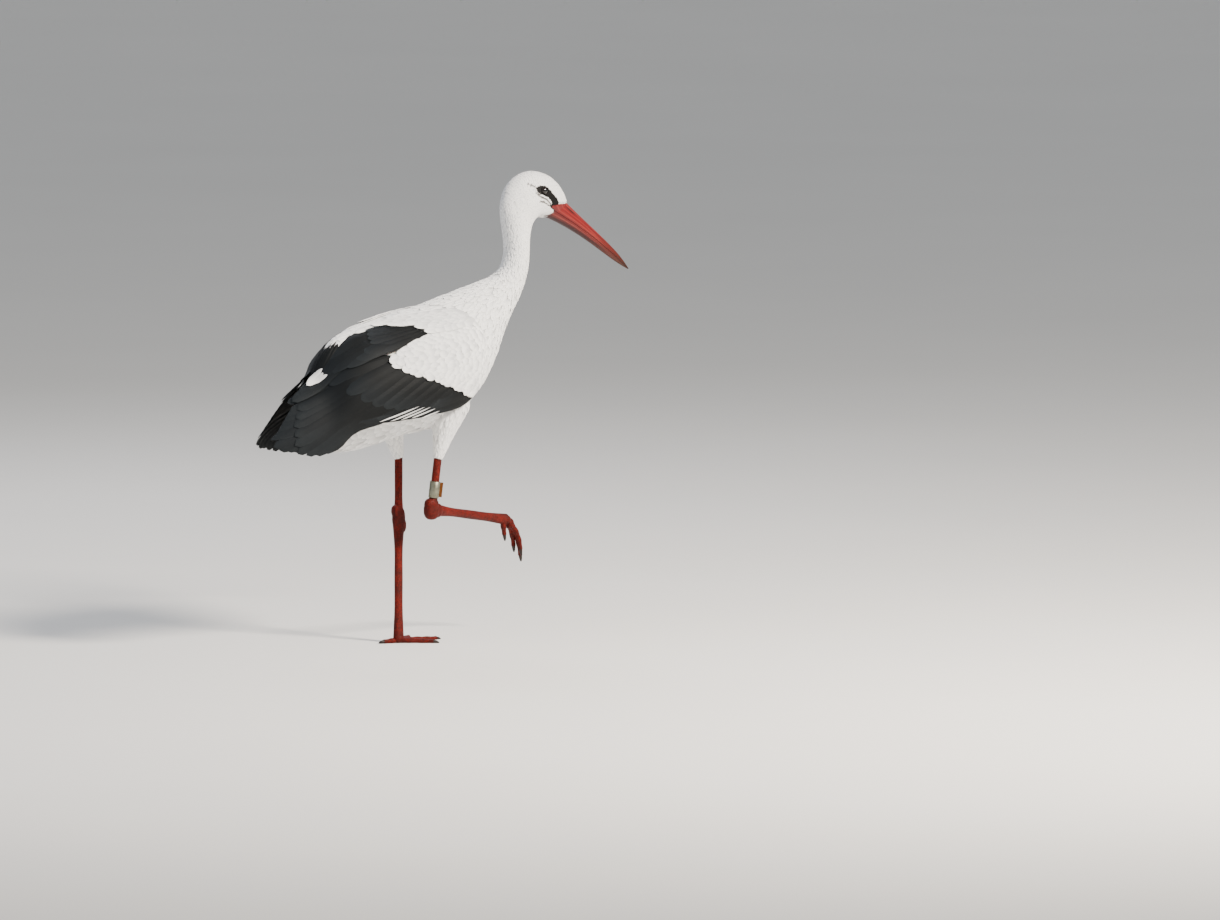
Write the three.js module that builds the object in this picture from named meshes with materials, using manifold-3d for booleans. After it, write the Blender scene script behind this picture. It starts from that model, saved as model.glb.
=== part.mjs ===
// A white stork in mid-stride: the left leg carries it, the right one is lifted and its toes hang.
// Millimetres. +X is the way the bird walks, +Y its left side, +Z up, and the floor is z = 0.
// The figure is drawn round the standing foot, and the whole is shifted at the end so that the
// origin is the middle of the bounding box's bottom face.
import * as THREE from "three";
import { mergeVertices } from "three/addons/utils/BufferGeometryUtils.js";
import Module from "manifold-3d";

const wasm = await Module();
wasm.setup();

// ---------------------------------------------------------------- driving dimensions
const GAP = 0.3; // clear space between neighbouring sub-parts
const WELD = 1e-3; // vertices closer than this are one

const EYE_RADIUS = 7.8;
const EYE_PLACE = { x: 279.5, y: 19.8, z: 736.5 };

const BILL_TIP = { x: 467.5, z: 596 };
const MOUTH_LINE = 0.58; // share of the bill's depth above the mouth
const BILL_TIP_RADIUS = 0.9;
const BILL_RINGS = 9;
const BILL_SWELL = { ridge: 2.6, keel: 1.6 }; // how far its edges bow out from straight

const SHANK = { deep: 6.7, wide: 5.2 }; // half sizes of the bare legs between the joints
const JOINT = { deep: 8.6, wide: 7.6 }; // and where they swell at the joints
const TARSUS_LENGTH = 200;
const TOE_LENGTHS = { inner: 58, middle: 78, outer: 64, hind: 27 };
const TOE_RADIUS = { root: 5.2, tip: 3.4 };
const TOE_SPREAD = { inner: -40, middle: 2, outer: 40, hind: 172 }; // degrees from straight ahead
const TOE_JOINTS = { inner: 3, middle: 3, outer: 3, hind: 2 };
const PAD_RADIUS = 9.2;
const CLAW_LENGTH = 11;

const STANDING = {
  hip: { x: 0, y: 44, z: 410 },
  feathersEnd: { x: 28, y: 40, z: 304 },
  heel: { x: 19.4, y: 28, z: 204 },
  foot: { x: 4, y: 7, z: 6.5 },
  heelSize: { deep: 11.6, wide: 8.8, high: 17 },
};
const LIFTED = {
  hip: { x: 75, y: -47, z: 405 },
  feathersEnd: { x: 47, y: -45, z: 308 },
  heel: { x: 38, y: -41, z: 223 },
  inward: 16.5, // degrees that the shank turns in from straight ahead
  drop: 9.5, // degrees that it falls towards the foot
  heelSize: { deep: 13, wide: 9.6, high: 14 },
};

// Half sizes of the feathered thighs [deep, wide], evenly spread from the hip to the bare leg.
const THIGH_SIZES = [[40, 30], [26, 24], [15.5, 14.5], [8.4, 7.8]];

// How the lifted foot hangs, in degrees: each toe's turn and its fall at the root and at the tip.
const LIFTED_TOES = {
  turn: { inner: 16, middle: 2, outer: -13, hind: 6 },
  pitch: [30, 84],
  hindPitch: 78,
  hindBack: 8, // how far the hind toe's root lies up the shank
};

const RING = { bore: 7.2, wall: 1.3, height: 27, aboveHeel: 20, lip: 7.5 };

// Stations of the body from the bill's root to the tail's tip. `back` and `front` are where a
// cross-section meets the upper and lower outline of the side view [x, z], `half` is half its
// width, `egg` shifts its widest height down, and `square` is the superellipse's exponent.
const BODY = [
  { back: [341, 711], front: [297, 690], half: 13.2, egg: 0.0, square: 2.1 },
  { back: [332, 730], front: [289, 690], half: 18.5, egg: 0.05, square: 2.1 },
  { back: [317, 748], front: [283, 691], half: 23.0, egg: 0.05, square: 2.1 },
  { back: [295, 762], front: [277, 691], half: 25.8, egg: 0.04, square: 2.2 },
  { back: [266, 768], front: [272, 688], half: 27.2, egg: 0.02, square: 2.2 },
  { back: [237, 759], front: [267, 682], half: 27.5, egg: 0.0, square: 2.1 },
  { back: [217, 739], front: [264, 672], half: 25.5, egg: 0.0, square: 2.0 },
  { back: [210, 712], front: [262, 658], half: 23.5, egg: 0.0, square: 2.0 },
  { back: [213, 684], front: [261, 643], half: 22.3, egg: 0.0, square: 2.0 },
  { back: [217, 658], front: [260, 626], half: 22.0, egg: 0.0, square: 2.0 },
  { back: [218, 634], front: [257, 606], half: 22.6, egg: 0.0, square: 2.0 },
  { back: [210, 611], front: [249, 583], half: 25.0, egg: 0.0, square: 2.0 },
  { back: [188, 597], front: [236, 558], half: 30.0, egg: 0.04, square: 2.0 },
  { back: [157, 588], front: [216, 531], half: 40.0, egg: 0.08, square: 2.0 },
  { back: [121, 578], front: [196, 498], half: 52.0, egg: 0.1, square: 2.0 },
  { back: [81, 567], front: [177, 459], half: 64.0, egg: 0.1, square: 2.0 },
  { back: [40, 555], front: [148, 417], half: 73.0, egg: 0.08, square: 2.1 },
  { back: [0, 545], front: [111, 382], half: 77.0, egg: 0.05, square: 2.1 },
  { back: [-45, 533], front: [72, 358], half: 76.0, egg: 0.08, square: 2.1 },
  { back: [-84, 520], front: [32, 351], half: 70.0, egg: 0.12, square: 2.1 },
  { back: [-116, 500], front: [-12, 344], half: 61.0, egg: 0.14, square: 2.0 },
  { back: [-138, 475], front: [-56, 334], half: 51.0, egg: 0.12, square: 2.0 },
  { back: [-154, 448], front: [-95, 327], half: 43.0, egg: 0.1, square: 2.0 },
  { back: [-170, 420], front: [-130, 326], half: 37.0, egg: 0.05, square: 2.1 },
  { back: [-189, 392], front: [-160, 328], half: 33.0, egg: 0.05, square: 2.3 },
  { back: [-207, 366], front: [-190, 332], half: 33.0, egg: 0.05, square: 2.6 },
  { back: [-226, 351], front: [-220, 335], half: 35.0, egg: 0.0, square: 3.0 },
  { back: [-243, 343.5], front: [-243, 337.5], half: 36.0, egg: 0.0, square: 3.0 },
];
// Where the body is parted, as places along its stations.
const BODY_PARTS = {
  head: [0, 7.4],
  neck_upper: [7.4, 10.5],
  neck_lower: [10.5, 13.5],
  trunk: [13.5, 23.5],
  tail: [23.5, 27],
};
const BODY_AROUND = 20;
const RINGS_PER_STATION = 1.5;

// The tail's end seen from above: its reach, half width, roundness and number of feather tips.
const TAIL = { reach: 246, half: 38, rounding: 15, tips: 6, notch: 8, tall: [250, 550] };

// Stations of a folded wing from the shoulder back to its tip. `top` and `bottom` are the edges of
// a cross-section [distance from the bird's midplane, height], `bulge` is how far out it reaches
// and `roof` how far down its upper part slopes, as a share of its height.
const WING = [
  { x: 130, top: [52, 514], bottom: [56, 470], bulge: 62, thick: 5, roof: 0.2 },
  { x: 116, top: [46, 537], bottom: [66, 432], bulge: 78, thick: 9, roof: 0.2 },
  { x: 90, top: [40, 550], bottom: [76, 404], bulge: 90, thick: 13, roof: 0.2 },
  { x: 50, top: [33, 550], bottom: [85, 388], bulge: 97, thick: 15, roof: 0.21 },
  { x: 0, top: [27, 543], bottom: [87, 379], bulge: 98, thick: 15, roof: 0.22 },
  { x: -50, top: [17, 534], bottom: [84, 375], bulge: 93, thick: 14, roof: 0.24 },
  { x: -100, top: [10, 522], bottom: [77, 374], bulge: 84, thick: 12, roof: 0.28 },
  { x: -140, top: [7, 497], bottom: [66, 363], bulge: 72, thick: 10, roof: 0.34 },
  { x: -170, top: [8, 459], bottom: [56, 325], bulge: 61, thick: 9, roof: 0.38 },
  { x: -198, top: [8, 434], bottom: [50, 322], bulge: 53, thick: 8, roof: 0.42 },
  { x: -225, top: [8, 411], bottom: [43, 324], bulge: 45, thick: 7, roof: 0.46 },
  { x: -250, top: [9, 376], bottom: [34, 329], bulge: 36, thick: 6, roof: 0.42 },
  { x: -275, top: [11, 349], bottom: [20, 343], bulge: 22, thick: 3.5, roof: 0.3 },
];
const WING_ACROSS = 6; // steps from the top edge to the bottom one
const WING_RINGS = 12;
const WING_EDGE = 0.8; // thickness of its edges
const WING_LIFT = { scapulars: 2.4, coverts: 1.4, tertials: 2.0, secondaries: 0.4, primaries: -0.8 };

// Borders of the feather groups in the side view [x, z], with feather tips `pitch` apart.
const FAR = { front: 200, rear: -330, top: 640, bottom: 280 };
const SCAPULAR_FRONT = [[FAR.front, 530], [60, 532], [-4, 520]];
const SCAPULAR_REAR = [[-4, 520], [-28, 524], [-74, 527], [-116, 533]];
const TERTIAL_FRONT = [[-4, 520], [-40, 501], [-91, 480]];
const TERTIAL_REAR = [[-91, 480], [-135, 468], [-168, 448], [-195, 438], [-226, 406]];
const COVERT_BORDER = [[FAR.front, 380], [87, 416], [-10, 446], [-91, 480]];
const PRIMARY_BORDER = [
  [FAR.front, 380],
  [87, 402],
  [40, 396],
  [-60, 395],
  [-150, 390],
  [-200, 376],
  [-262, 352],
];
const LOWER_RIM = [[-100, 370], [-136, 366], [-167, 329], [-190, 326], [-262, 329], [-282, 343]];
const TIPS_END = { tertial: 406, secondary: 352, primary: 344 }; // heights of the groups' rear ends
const SCAPULARS_END = -116;
const TIP_PITCH = 24;
const TIP_DEPTH = { covert: 4, primary: 5 };

// ---------------------------------------------------------------- colours
const COLOURS = {
  whiteFeather: { color: 0xe9e7e2, roughness: 0.85 },
  blackFeather: { color: 0x303035, roughness: 0.6 },
  bill: { color: 0xb9322f, roughness: 0.45 },
  leg: { color: 0xb23c1e, roughness: 0.55 },
  claw: { color: 0x4a3328, roughness: 0.5 },
  eye: { color: 0x17130f, roughness: 0.1 },
  ring: { color: 0xa9aa98, roughness: 0.4, metalness: 0.8 },
};
const material = Object.fromEntries(
  Object.entries(COLOURS).map(([name, look]) => [name, new THREE.MeshStandardMaterial(look)]),
);

// ---------------------------------------------------------------- geometry helpers
const vector = ({ x, y, z }) => new THREE.Vector3(x, y, z);
const radians = THREE.MathUtils.degToRad;

/** The closed surface as a solid that can be joined and cut. */
function toSolid(geometry) {
  const bare = geometry.clone();
  bare.deleteAttribute("normal");
  bare.deleteAttribute("uv");
  const merged = mergeVertices(bare, WELD);
  const vertProperties = merged.attributes.position.array;
  const triVerts = new Uint32Array(merged.index.array);
  return new wasm.Manifold(new wasm.Mesh({ numProp: 3, vertProperties, triVerts }));
}

/** The largest body of a solid that a cut may have left in pieces. */
function largest(solid) {
  return solid.decompose().sort((a, b) => b.volume() - a.volume())[0];
}

/** The solid as a geometry. */
function toGeometry(solid) {
  const { vertProperties, triVerts } = solid.getMesh();
  const geometry = new THREE.BufferGeometry();
  geometry.setAttribute("position", new THREE.BufferAttribute(vertProperties, 3));
  geometry.setIndex(new THREE.BufferAttribute(triVerts, 1));
  geometry.computeVertexNormals();
  return geometry;
}

/** Values between stations: each row of numbers is one station, at place 0, 1, 2 and on. */
function between(rows) {
  const curve = new THREE.CubicInterpolant(rows.map((row, place) => place), rows.flat(), rows[0].length);
  return (place) => Array.from(curve.evaluate(place));
}

/** Evenly spread numbers from one value to another, with both ends. */
function spread(from, to, steps) {
  return Array.from({ length: steps + 1 }, (_, k) => from + ((to - from) * k) / steps);
}

/** Six times the volume inside an indexed surface, negative where its faces point inwards. */
function signedVolume(points, faces) {
  let total = 0;
  for (let f = 0; f < faces.length; f += 3) {
    const [a, b, c] = [points[faces[f]], points[faces[f + 1]], points[faces[f + 2]]];
    total += a.dot(new THREE.Vector3().crossVectors(b, c));
  }
  return total;
}

/** Closed surface through rings with equally many points, each end closed at its ring's middle. */
function loft(rings) {
  const around = rings[0].length;
  const points = rings.flat();
  const faces = [];
  for (let r = 0; r + 1 < rings.length; r++) {
    for (let k = 0; k < around; k++) {
      const a = r * around + k;
      const b = r * around + ((k + 1) % around);
      faces.push(a, b, a + around, b, b + around, a + around);
    }
  }
  const close = (ring, start, turned) => {
    const middle = ring.reduce((sum, p) => sum.add(p), new THREE.Vector3()).divideScalar(around);
    points.push(middle);
    for (let k = 0; k < around; k++) {
      const edge = [start + k, start + ((k + 1) % around)];
      if (turned) edge.reverse();
      faces.push(points.length - 1, edge[1], edge[0]);
    }
  };
  close(rings[0], 0, false);
  close(rings.at(-1), (rings.length - 1) * around, true);
  if (signedVolume(points, faces) < 0) faces.reverse();
  const geometry = new THREE.BufferGeometry().setFromPoints(points);
  geometry.setIndex(faces);
  return geometry;
}

/** Superellipse ring round `centre` with half axes `up` and `side`; `egg` widens its lower half. */
function ovalRing(centre, up, side, { around, square = 2, egg = 0 }) {
  return Array.from({ length: around }, (_, k) => {
    const turn = (2 * Math.PI * k) / around;
    const rise = Math.sign(Math.cos(turn)) * Math.abs(Math.cos(turn)) ** (2 / square);
    const out = Math.sign(Math.sin(turn)) * Math.abs(Math.sin(turn)) ** (2 / square);
    return centre.clone().addScaledVector(up, rise).addScaledVector(side, out * (1 - egg * rise));
  });
}

/** Round rod along a smooth path; `sizes` are [half height, half width] rows spread along it. */
function rod(path, sizes, { around = 12, steps = 12, square = 2 } = {}) {
  const curve = new THREE.CatmullRomCurve3(path);
  const size = between(sizes);
  const rings = spread(0, 1, steps).map((t) => {
    const [high, wide] = size(t * (sizes.length - 1));
    const ahead = curve.getTangentAt(t);
    const side = new THREE.Vector3(-ahead.y, ahead.x, 0);
    if (side.length() < 0.3) side.set(0, 1, 0).addScaledVector(ahead, -ahead.y);
    side.normalize();
    const up = new THREE.Vector3().crossVectors(ahead, side);
    return ovalRing(curve.getPointAt(t), up.multiplyScalar(high), side.multiplyScalar(wide), { around, square });
  });
  return loft(rings);
}

/** Box between two corners. */
function block(low, high) {
  const geometry = new THREE.BoxGeometry(high[0] - low[0], high[1] - low[1], high[2] - low[2]);
  geometry.translate((low[0] + high[0]) / 2, (low[1] + high[1]) / 2, (low[2] + high[2]) / 2);
  return toSolid(geometry);
}

/** The geometry mirrored from the bird's left side to its right, with its faces still outwards. */
function mirrored(geometry) {
  const copy = geometry.clone().scale(1, -1, 1);
  copy.setIndex(Array.from(copy.index.array).reverse());
  return copy;
}

// ---------------------------------------------------------------- head, neck, trunk and tail
const bodyRows = BODY.map(({ back, front, half, egg, square }) => [...back, ...front, half, egg, square]);
const bodyAt = between(bodyRows);

/** Cross-section of the body at a place along its stations, grown by `more` on every side. */
function bodyRing(place, more = 0) {
  const [backX, backZ, frontX, frontZ, half, egg, square] = bodyAt(place);
  const back = new THREE.Vector3(backX, 0, backZ);
  const front = new THREE.Vector3(frontX, 0, frontZ);
  const centre = back.clone().add(front).divideScalar(2);
  const up = back.clone().sub(centre);
  up.setLength(up.length() + more);
  return ovalRing(centre, up, new THREE.Vector3(0, half + more, 0), { around: BODY_AROUND, square, egg });
}

/** Stretch of the body between two places along its stations. */
function bodyStretch(from, to, more = 0) {
  const steps = Math.ceil((to - from) * RINGS_PER_STATION);
  return loft(spread(from, to, steps).map((place) => bodyRing(place, more)));
}

/** Stretch of the body that starts a gap clear of the stretch before it. */
function bodyPart([from, to]) {
  if (from === 0) return bodyStretch(from, to);
  const [here, next] = [bodyRing(from), bodyRing(from + 1)];
  const nearest = Math.min(...here.map((point, k) => point.distanceTo(next[k])));
  return bodyStretch(from + GAP / nearest, to);
}

/** Feather-tipped outline that trims the tail's end, seen from above. */
function tailTrim() {
  const { reach, half, rounding, tips, tall } = TAIL;
  const outline = new THREE.Shape();
  outline.moveTo(0, -half * 3);
  outline.lineTo(-reach + rounding, -half);
  for (const k of spread(1, tips, tips - 1)) {
    const y = -half + (2 * half * k) / tips;
    const middle = y - half / tips;
    const tip = -reach + rounding * (middle / half) ** 2 - TAIL.notch / 2;
    const notch = -reach + rounding * (y / half) ** 2 + TAIL.notch / 2;
    outline.quadraticCurveTo(tip, middle, notch, y);
  }
  outline.lineTo(0, half * 3);
  const [low, high] = tall;
  const depth = high - low;
  const geometry = new THREE.ExtrudeGeometry(outline, { depth, bevelEnabled: false, curveSegments: 2 });
  return toSolid(geometry.translate(0, 0, low));
}

// ---------------------------------------------------------------- bill and eyes
/** One mandible, between two shares of the bill's depth below its upper ridge. */
function mandible(from, to) {
  const [root] = BODY;
  const tip = vector({ ...BILL_TIP, y: 0 });
  const ahead = tip.clone().sub(new THREE.Vector3(root.back[0], 0, root.back[1])).normalize();
  const down = new THREE.Vector3(ahead.z, 0, -ahead.x);
  const rings = spread(0, 1, BILL_RINGS).map((along) => {
    const bow = Math.sin(Math.PI * along ** 1.3);
    const ridge = new THREE.Vector3(root.back[0], 0, root.back[1]).lerp(tip, along);
    const keel = new THREE.Vector3(root.front[0], 0, root.front[1]).lerp(tip, along);
    const blunt = BILL_TIP_RADIUS * along;
    ridge.addScaledVector(ahead, GAP).addScaledVector(down, -BILL_SWELL.ridge * bow - blunt);
    keel.addScaledVector(ahead, GAP).addScaledVector(down, BILL_SWELL.keel * bow + blunt);
    const half = Math.max(root.half * (1 - along) ** 0.8, BILL_TIP_RADIUS);
    return mandibleRing(ridge, keel, half, from, to);
  });
  return loft(rings);
}

/** Ring of one mandible: an oval from ridge to keel, kept between two shares of its depth. */
function mandibleRing(ridge, keel, half, from, to) {
  const margin = GAP / 2 / ridge.distanceTo(keel);
  const shares = spread(from + (from > 0 ? margin : 0), to - (to < 1 ? margin : 0), 5);
  const place = (share, side) => {
    const width = half * Math.sqrt(Math.max(1 - (2 * share - 1) ** 2, 0));
    return ridge.clone().lerp(keel, share).add(new THREE.Vector3(0, side * width, 0));
  };
  const left = shares.map((share) => place(share, 1));
  const right = shares.map((share) => place(share, -1)).filter((point, k) => shares[k] > 0 && shares[k] < 1);
  return [...left, ...right.reverse()];
}

/** Eyeball on one side (+1 left, -1 right), grown by `more`. */
function eyeball(side, more = 0) {
  const geometry = new THREE.SphereGeometry(EYE_RADIUS + more, 12, 6);
  geometry.rotateX(Math.PI / 2);
  return geometry.translate(EYE_PLACE.x, side * EYE_PLACE.y, EYE_PLACE.z);
}

// ---------------------------------------------------------------- wings
const wingRows = WING.map(({ x, top, bottom, bulge, thick, roof }) => [x, ...top, ...bottom, bulge, thick, roof]);
const wingAt = between(wingRows);

/** Cross-section of the left wing at a place along its stations, raised outside and inside. */
function wingRing(place, lift, depth) {
  const [x, topY, topZ, bottomY, bottomZ, bulge, thick, roof] = wingAt(place);
  const reach = (bulge - 0.125 * (topY + bottomY)) / 0.75;
  const height = topZ - bottomZ;
  const outline = new THREE.CubicBezierCurve(
    new THREE.Vector2(topY, topZ),
    new THREE.Vector2(reach, topZ - roof * height),
    new THREE.Vector2(reach, bottomZ + 0.3 * height),
    new THREE.Vector2(bottomY, bottomZ),
  );
  const side = (share, depth) => {
    const at = outline.getPoint(share);
    const along = outline.getTangent(share);
    return new THREE.Vector3(x, at.x + along.y * depth, at.y - along.x * depth);
  };
  const shares = spread(0, 1, WING_ACROSS);
  const fade = (share) => Math.sqrt(Math.sin(Math.PI * THREE.MathUtils.clamp(share, 0.03, 0.97)));
  const outside = shares.map((share) => side(share, -lift * fade(share)));
  const inside = shares.map((share) => side(share, WING_EDGE + depth + thick * fade(share)));
  return [...outside, ...inside.reverse()];
}

/** The whole folded wing on the left side, raised by `lift` outside and by `depth` inside. */
function wingBlank(lift, depth = 0) {
  const last = WING.length - 1;
  return toSolid(loft(spread(0, last, WING_RINGS).map((place) => wingRing(place, lift, depth))));
}

/** The border with rounded feather tips that stand out to its right-hand side. */
function tipped(border, pitch, depth) {
  const points = [];
  border.slice(1).forEach((end, k) => {
    const [start] = border.slice(k);
    const [dx, dz] = [end[0] - start[0], end[1] - start[1]];
    const length = Math.hypot(dx, dz);
    const tips = Math.max(1, Math.round(length / pitch));
    for (let step = 0; step < 2 * tips; step++) {
      const share = step / (2 * tips);
      const out = step % 2 === 0 ? 0 : depth;
      points.push([start[0] + dx * share + (dz / length) * out, start[1] + dz * share - (dx / length) * out]);
    }
  });
  return [...points, border.at(-1)];
}

/** The outline moved inwards by half the gap, so that neighbours that share a border stay clear. */
function inset(outline) {
  const turned = THREE.ShapeUtils.isClockWise(outline.map(([x, y]) => new THREE.Vector2(x, y))) ? -1 : 1;
  return outline.map((point, k) => {
    const before = outline.at(k - 1);
    const after = outline[(k + 1) % outline.length];
    const into = new THREE.Vector2(point[0] - before[0], point[1] - before[1]).normalize();
    const away = new THREE.Vector2(after[0] - point[0], after[1] - point[1]).normalize();
    const normal = new THREE.Vector2(-into.y - away.y, into.x + away.x).multiplyScalar(turned);
    const widen = Math.max(normal.lengthSq() / 2, 0.5);
    normal.multiplyScalar(GAP / 2 / widen);
    return new THREE.Vector2(point[0] + normal.x, point[1] + normal.y);
  });
}

/** Side-view outline as a solid that spans one side of the bird. */
function sideTrim(outline) {
  const geometry = new THREE.ExtrudeGeometry(new THREE.Shape(inset(outline)), { depth: 200, bevelEnabled: false });
  geometry.rotateX(Math.PI / 2);
  return toSolid(geometry.translate(0, 200, 0));
}

/** Feather groups of the left wing, clear of each other and of what lies under them. */
function wingGroups(underneath) {
  const covertTips = tipped(COVERT_BORDER.slice(1), TIP_PITCH, -TIP_DEPTH.covert);
  const covertBorder = [COVERT_BORDER[0], ...covertTips];
  const lowerRim = tipped(LOWER_RIM, TIP_PITCH, -TIP_DEPTH.primary);
  const tertialEnd = [FAR.rear, TIPS_END.tertial];
  const secondaryEnd = [FAR.rear, TIPS_END.secondary];
  const outlines = {
    scapulars: [
      ...SCAPULAR_FRONT,
      ...SCAPULAR_REAR.slice(1),
      [SCAPULARS_END, FAR.top],
      [FAR.front, FAR.top],
    ],
    coverts: [
      ...SCAPULAR_FRONT,
      ...TERTIAL_FRONT.slice(1),
      ...covertBorder.slice(0, -1).reverse(),
    ],
    tertials: [
      ...SCAPULAR_REAR,
      [SCAPULARS_END, FAR.top],
      [FAR.rear, FAR.top],
      tertialEnd,
      ...TERTIAL_REAR.slice().reverse(),
      ...TERTIAL_FRONT.slice(1, -1).reverse(),
    ],
    secondaries: [
      ...covertBorder,
      ...TERTIAL_REAR.slice(1),
      tertialEnd,
      secondaryEnd,
      ...PRIMARY_BORDER.slice(1).reverse(),
    ],
    primaries: [
      ...PRIMARY_BORDER,
      secondaryEnd,
      [FAR.rear, TIPS_END.primary],
      ...lowerRim.slice().reverse(),
      [LOWER_RIM[0][0], FAR.bottom],
      [FAR.front, FAR.bottom],
    ],
  };
  const group = ([name, outline]) => {
    const solid = wingBlank(WING_LIFT[name]).intersect(sideTrim(outline)).subtract(underneath);
    return [name, largest(solid)];
  };
  return Object.fromEntries(Object.entries(outlines).map(group));
}

// ---------------------------------------------------------------- legs
/** Feathered thigh from inside the body to where the bare leg starts, grown by `more`. */
function thigh({ hip, feathersEnd }, more = 0) {
  const [from, end] = [vector(hip), vector(feathersEnd)];
  const to = end.clone().addScaledVector(end.clone().sub(from).normalize(), more);
  const path = [from, from.clone().lerp(to, 0.33), from.clone().lerp(to, 0.66), to];
  const sizes = THIGH_SIZES.map((size) => size.map((half) => half + more));
  return rod(path, sizes, { around: 12, steps: 7 });
}

/** Bare leg between two joints, swelling at both, grown by `more`. */
function shank(from, to, more = 0) {
  const ends = [JOINT.deep + more, JOINT.wide + more];
  const bone = [SHANK.deep + more, SHANK.wide + more];
  return rod([from, from.clone().lerp(to, 0.5), to], [ends, bone, bone, bone, ends], { around: 10, steps: 6 });
}

/** Knobbly heel joint as an ellipsoid, grown by `more`. */
function heelKnob(at, { deep, wide, high }, more = 0) {
  const geometry = new THREE.SphereGeometry(1, 10, 6).rotateX(Math.PI / 2);
  geometry.scale(deep + more, wide + more, high + more);
  return geometry.translate(at.x, at.y, at.z);
}

/** Unit vector that is turned `heading` degrees from straight ahead and falls `drop` degrees. */
function direction(heading, drop) {
  return new THREE.Vector3(1, 0, 0)
    .applyAxisAngle(new THREE.Vector3(0, 1, 0), radians(drop))
    .applyAxisAngle(new THREE.Vector3(0, 0, 1), radians(heading));
}

/** Path of a toe that leaves `root` along `heading` degrees, bending from one pitch to another. */
function toePath(root, heading, length, pitchFrom, pitchTo) {
  const points = [root.clone()];
  const steps = 5;
  for (const k of spread(0.5, steps - 0.5, steps - 1)) {
    const ahead = direction(heading, pitchFrom + ((pitchTo - pitchFrom) * k) / steps);
    points.push(points.at(-1).clone().addScaledVector(ahead, length / steps));
  }
  return points;
}

/** Toe with a swelling at each of its joints, grown by `more`. */
function toe(path, joints, more = 0) {
  const sizes = spread(0, 1, 2 * joints).map((along, k) => {
    const radius = THREE.MathUtils.lerp(TOE_RADIUS.root, TOE_RADIUS.tip, along) * (k % 2 === 0 ? 1.06 : 0.9);
    return [radius * 0.9 + more, radius + more];
  });
  return rod(path, sizes, { around: 8, steps: 2 * joints });
}

/** Blunt claw that carries on from a toe's end, curving down. */
function claw(path) {
  const end = path.at(-1);
  const ahead = end.clone().sub(path.at(-2)).normalize();
  const start = end.clone().addScaledVector(ahead, GAP);
  const sink = new THREE.Vector3(0, 0, -1);
  const middle = start.clone().addScaledVector(ahead, CLAW_LENGTH * 0.5).addScaledVector(sink, CLAW_LENGTH * 0.04);
  const tip = start.clone().addScaledVector(ahead, CLAW_LENGTH).addScaledVector(sink, CLAW_LENGTH * 0.16);
  return rod([start, middle, tip], [[2.8, 3.1], [2.2, 2.6], [0.7, 0.9]], { around: 6, steps: 3 });
}

const figure = new THREE.Group();

/** Adds one sub-part to the figure. */
function add(name, geometry, look) {
  const shape = geometry instanceof THREE.BufferGeometry ? geometry : toGeometry(geometry);
  const mesh = new THREE.Mesh(shape, material[look]);
  mesh.name = name;
  figure.add(mesh);
}

/** Foot's pad, where the toes meet, grown by `more`. */
function footPad(at, more = 0) {
  return new THREE.SphereGeometry(PAD_RADIUS + more, 10, 6).scale(1, 1, 0.86).translate(at.x, at.y, at.z);
}

/** Everything of one leg below the thigh, as solids that are clear of each other. */
function addLeg(name, leg, foot, toes, trim) {
  const [feathersEnd, heel] = [vector(leg.feathersEnd), vector(leg.heel)];
  const feathers = toSolid(thigh(leg, GAP));
  const knob = toSolid(heelKnob(heel, leg.heelSize));
  const knobRoom = toSolid(heelKnob(heel, leg.heelSize, GAP));
  const tibia = toSolid(shank(feathersEnd, heel)).subtract(knobRoom).subtract(feathers);
  const tarsus = toSolid(shank(heel, foot)).add(knob).add(toSolid(footPad(foot)));
  add(`${name}_tibia`, largest(tibia), "leg");
  add(`${name}_tarsus`, trim(tarsus), "leg");
  let used = toSolid(footPad(foot, GAP)).add(toSolid(shank(heel, foot, GAP)));
  for (const [which, path] of Object.entries(toes)) {
    const whole = toSolid(toe(path, TOE_JOINTS[which]));
    add(`${name}_toe_${which}`, largest(trim(whole.subtract(used))), "leg");
    add(`${name}_claw_${which}`, trim(toSolid(claw(path))), "claw");
    used = used.add(toSolid(toe(path, TOE_JOINTS[which], GAP)));
  }
}

// ---------------------------------------------------------------- the parts put together
const floorSpace = block([-200, -200, 0], [300, 200, 300]);
const bodyRoom = [BODY_PARTS.neck_lower, BODY_PARTS.trunk, BODY_PARTS.tail]
  .map(([from, to]) => toSolid(bodyStretch(from, to, GAP)))
  .reduce((room, stretch) => room.add(stretch));

for (const [name, span] of Object.entries(BODY_PARTS)) {
  let solid = toSolid(bodyPart(span));
  if (name === "head") solid = solid.subtract(toSolid(eyeball(1, GAP))).subtract(toSolid(eyeball(-1, GAP)));
  if (name === "tail") solid = solid.intersect(tailTrim());
  add(name, solid, "whiteFeather");
}

add("bill_upper", mandible(0, MOUTH_LINE), "bill");
add("bill_lower", mandible(MOUTH_LINE, 1), "bill");
add("eye_left", eyeball(1), "eye");
add("eye_right", eyeball(-1), "eye");

const blackGroups = ["tertials", "secondaries", "primaries"];
for (const [name, solid] of Object.entries(wingGroups(bodyRoom))) {
  const look = blackGroups.includes(name) ? "blackFeather" : "whiteFeather";
  const geometry = toGeometry(solid);
  add(`wing_left_${name}`, geometry, look);
  add(`wing_right_${name}`, mirrored(geometry), look);
}

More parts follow.
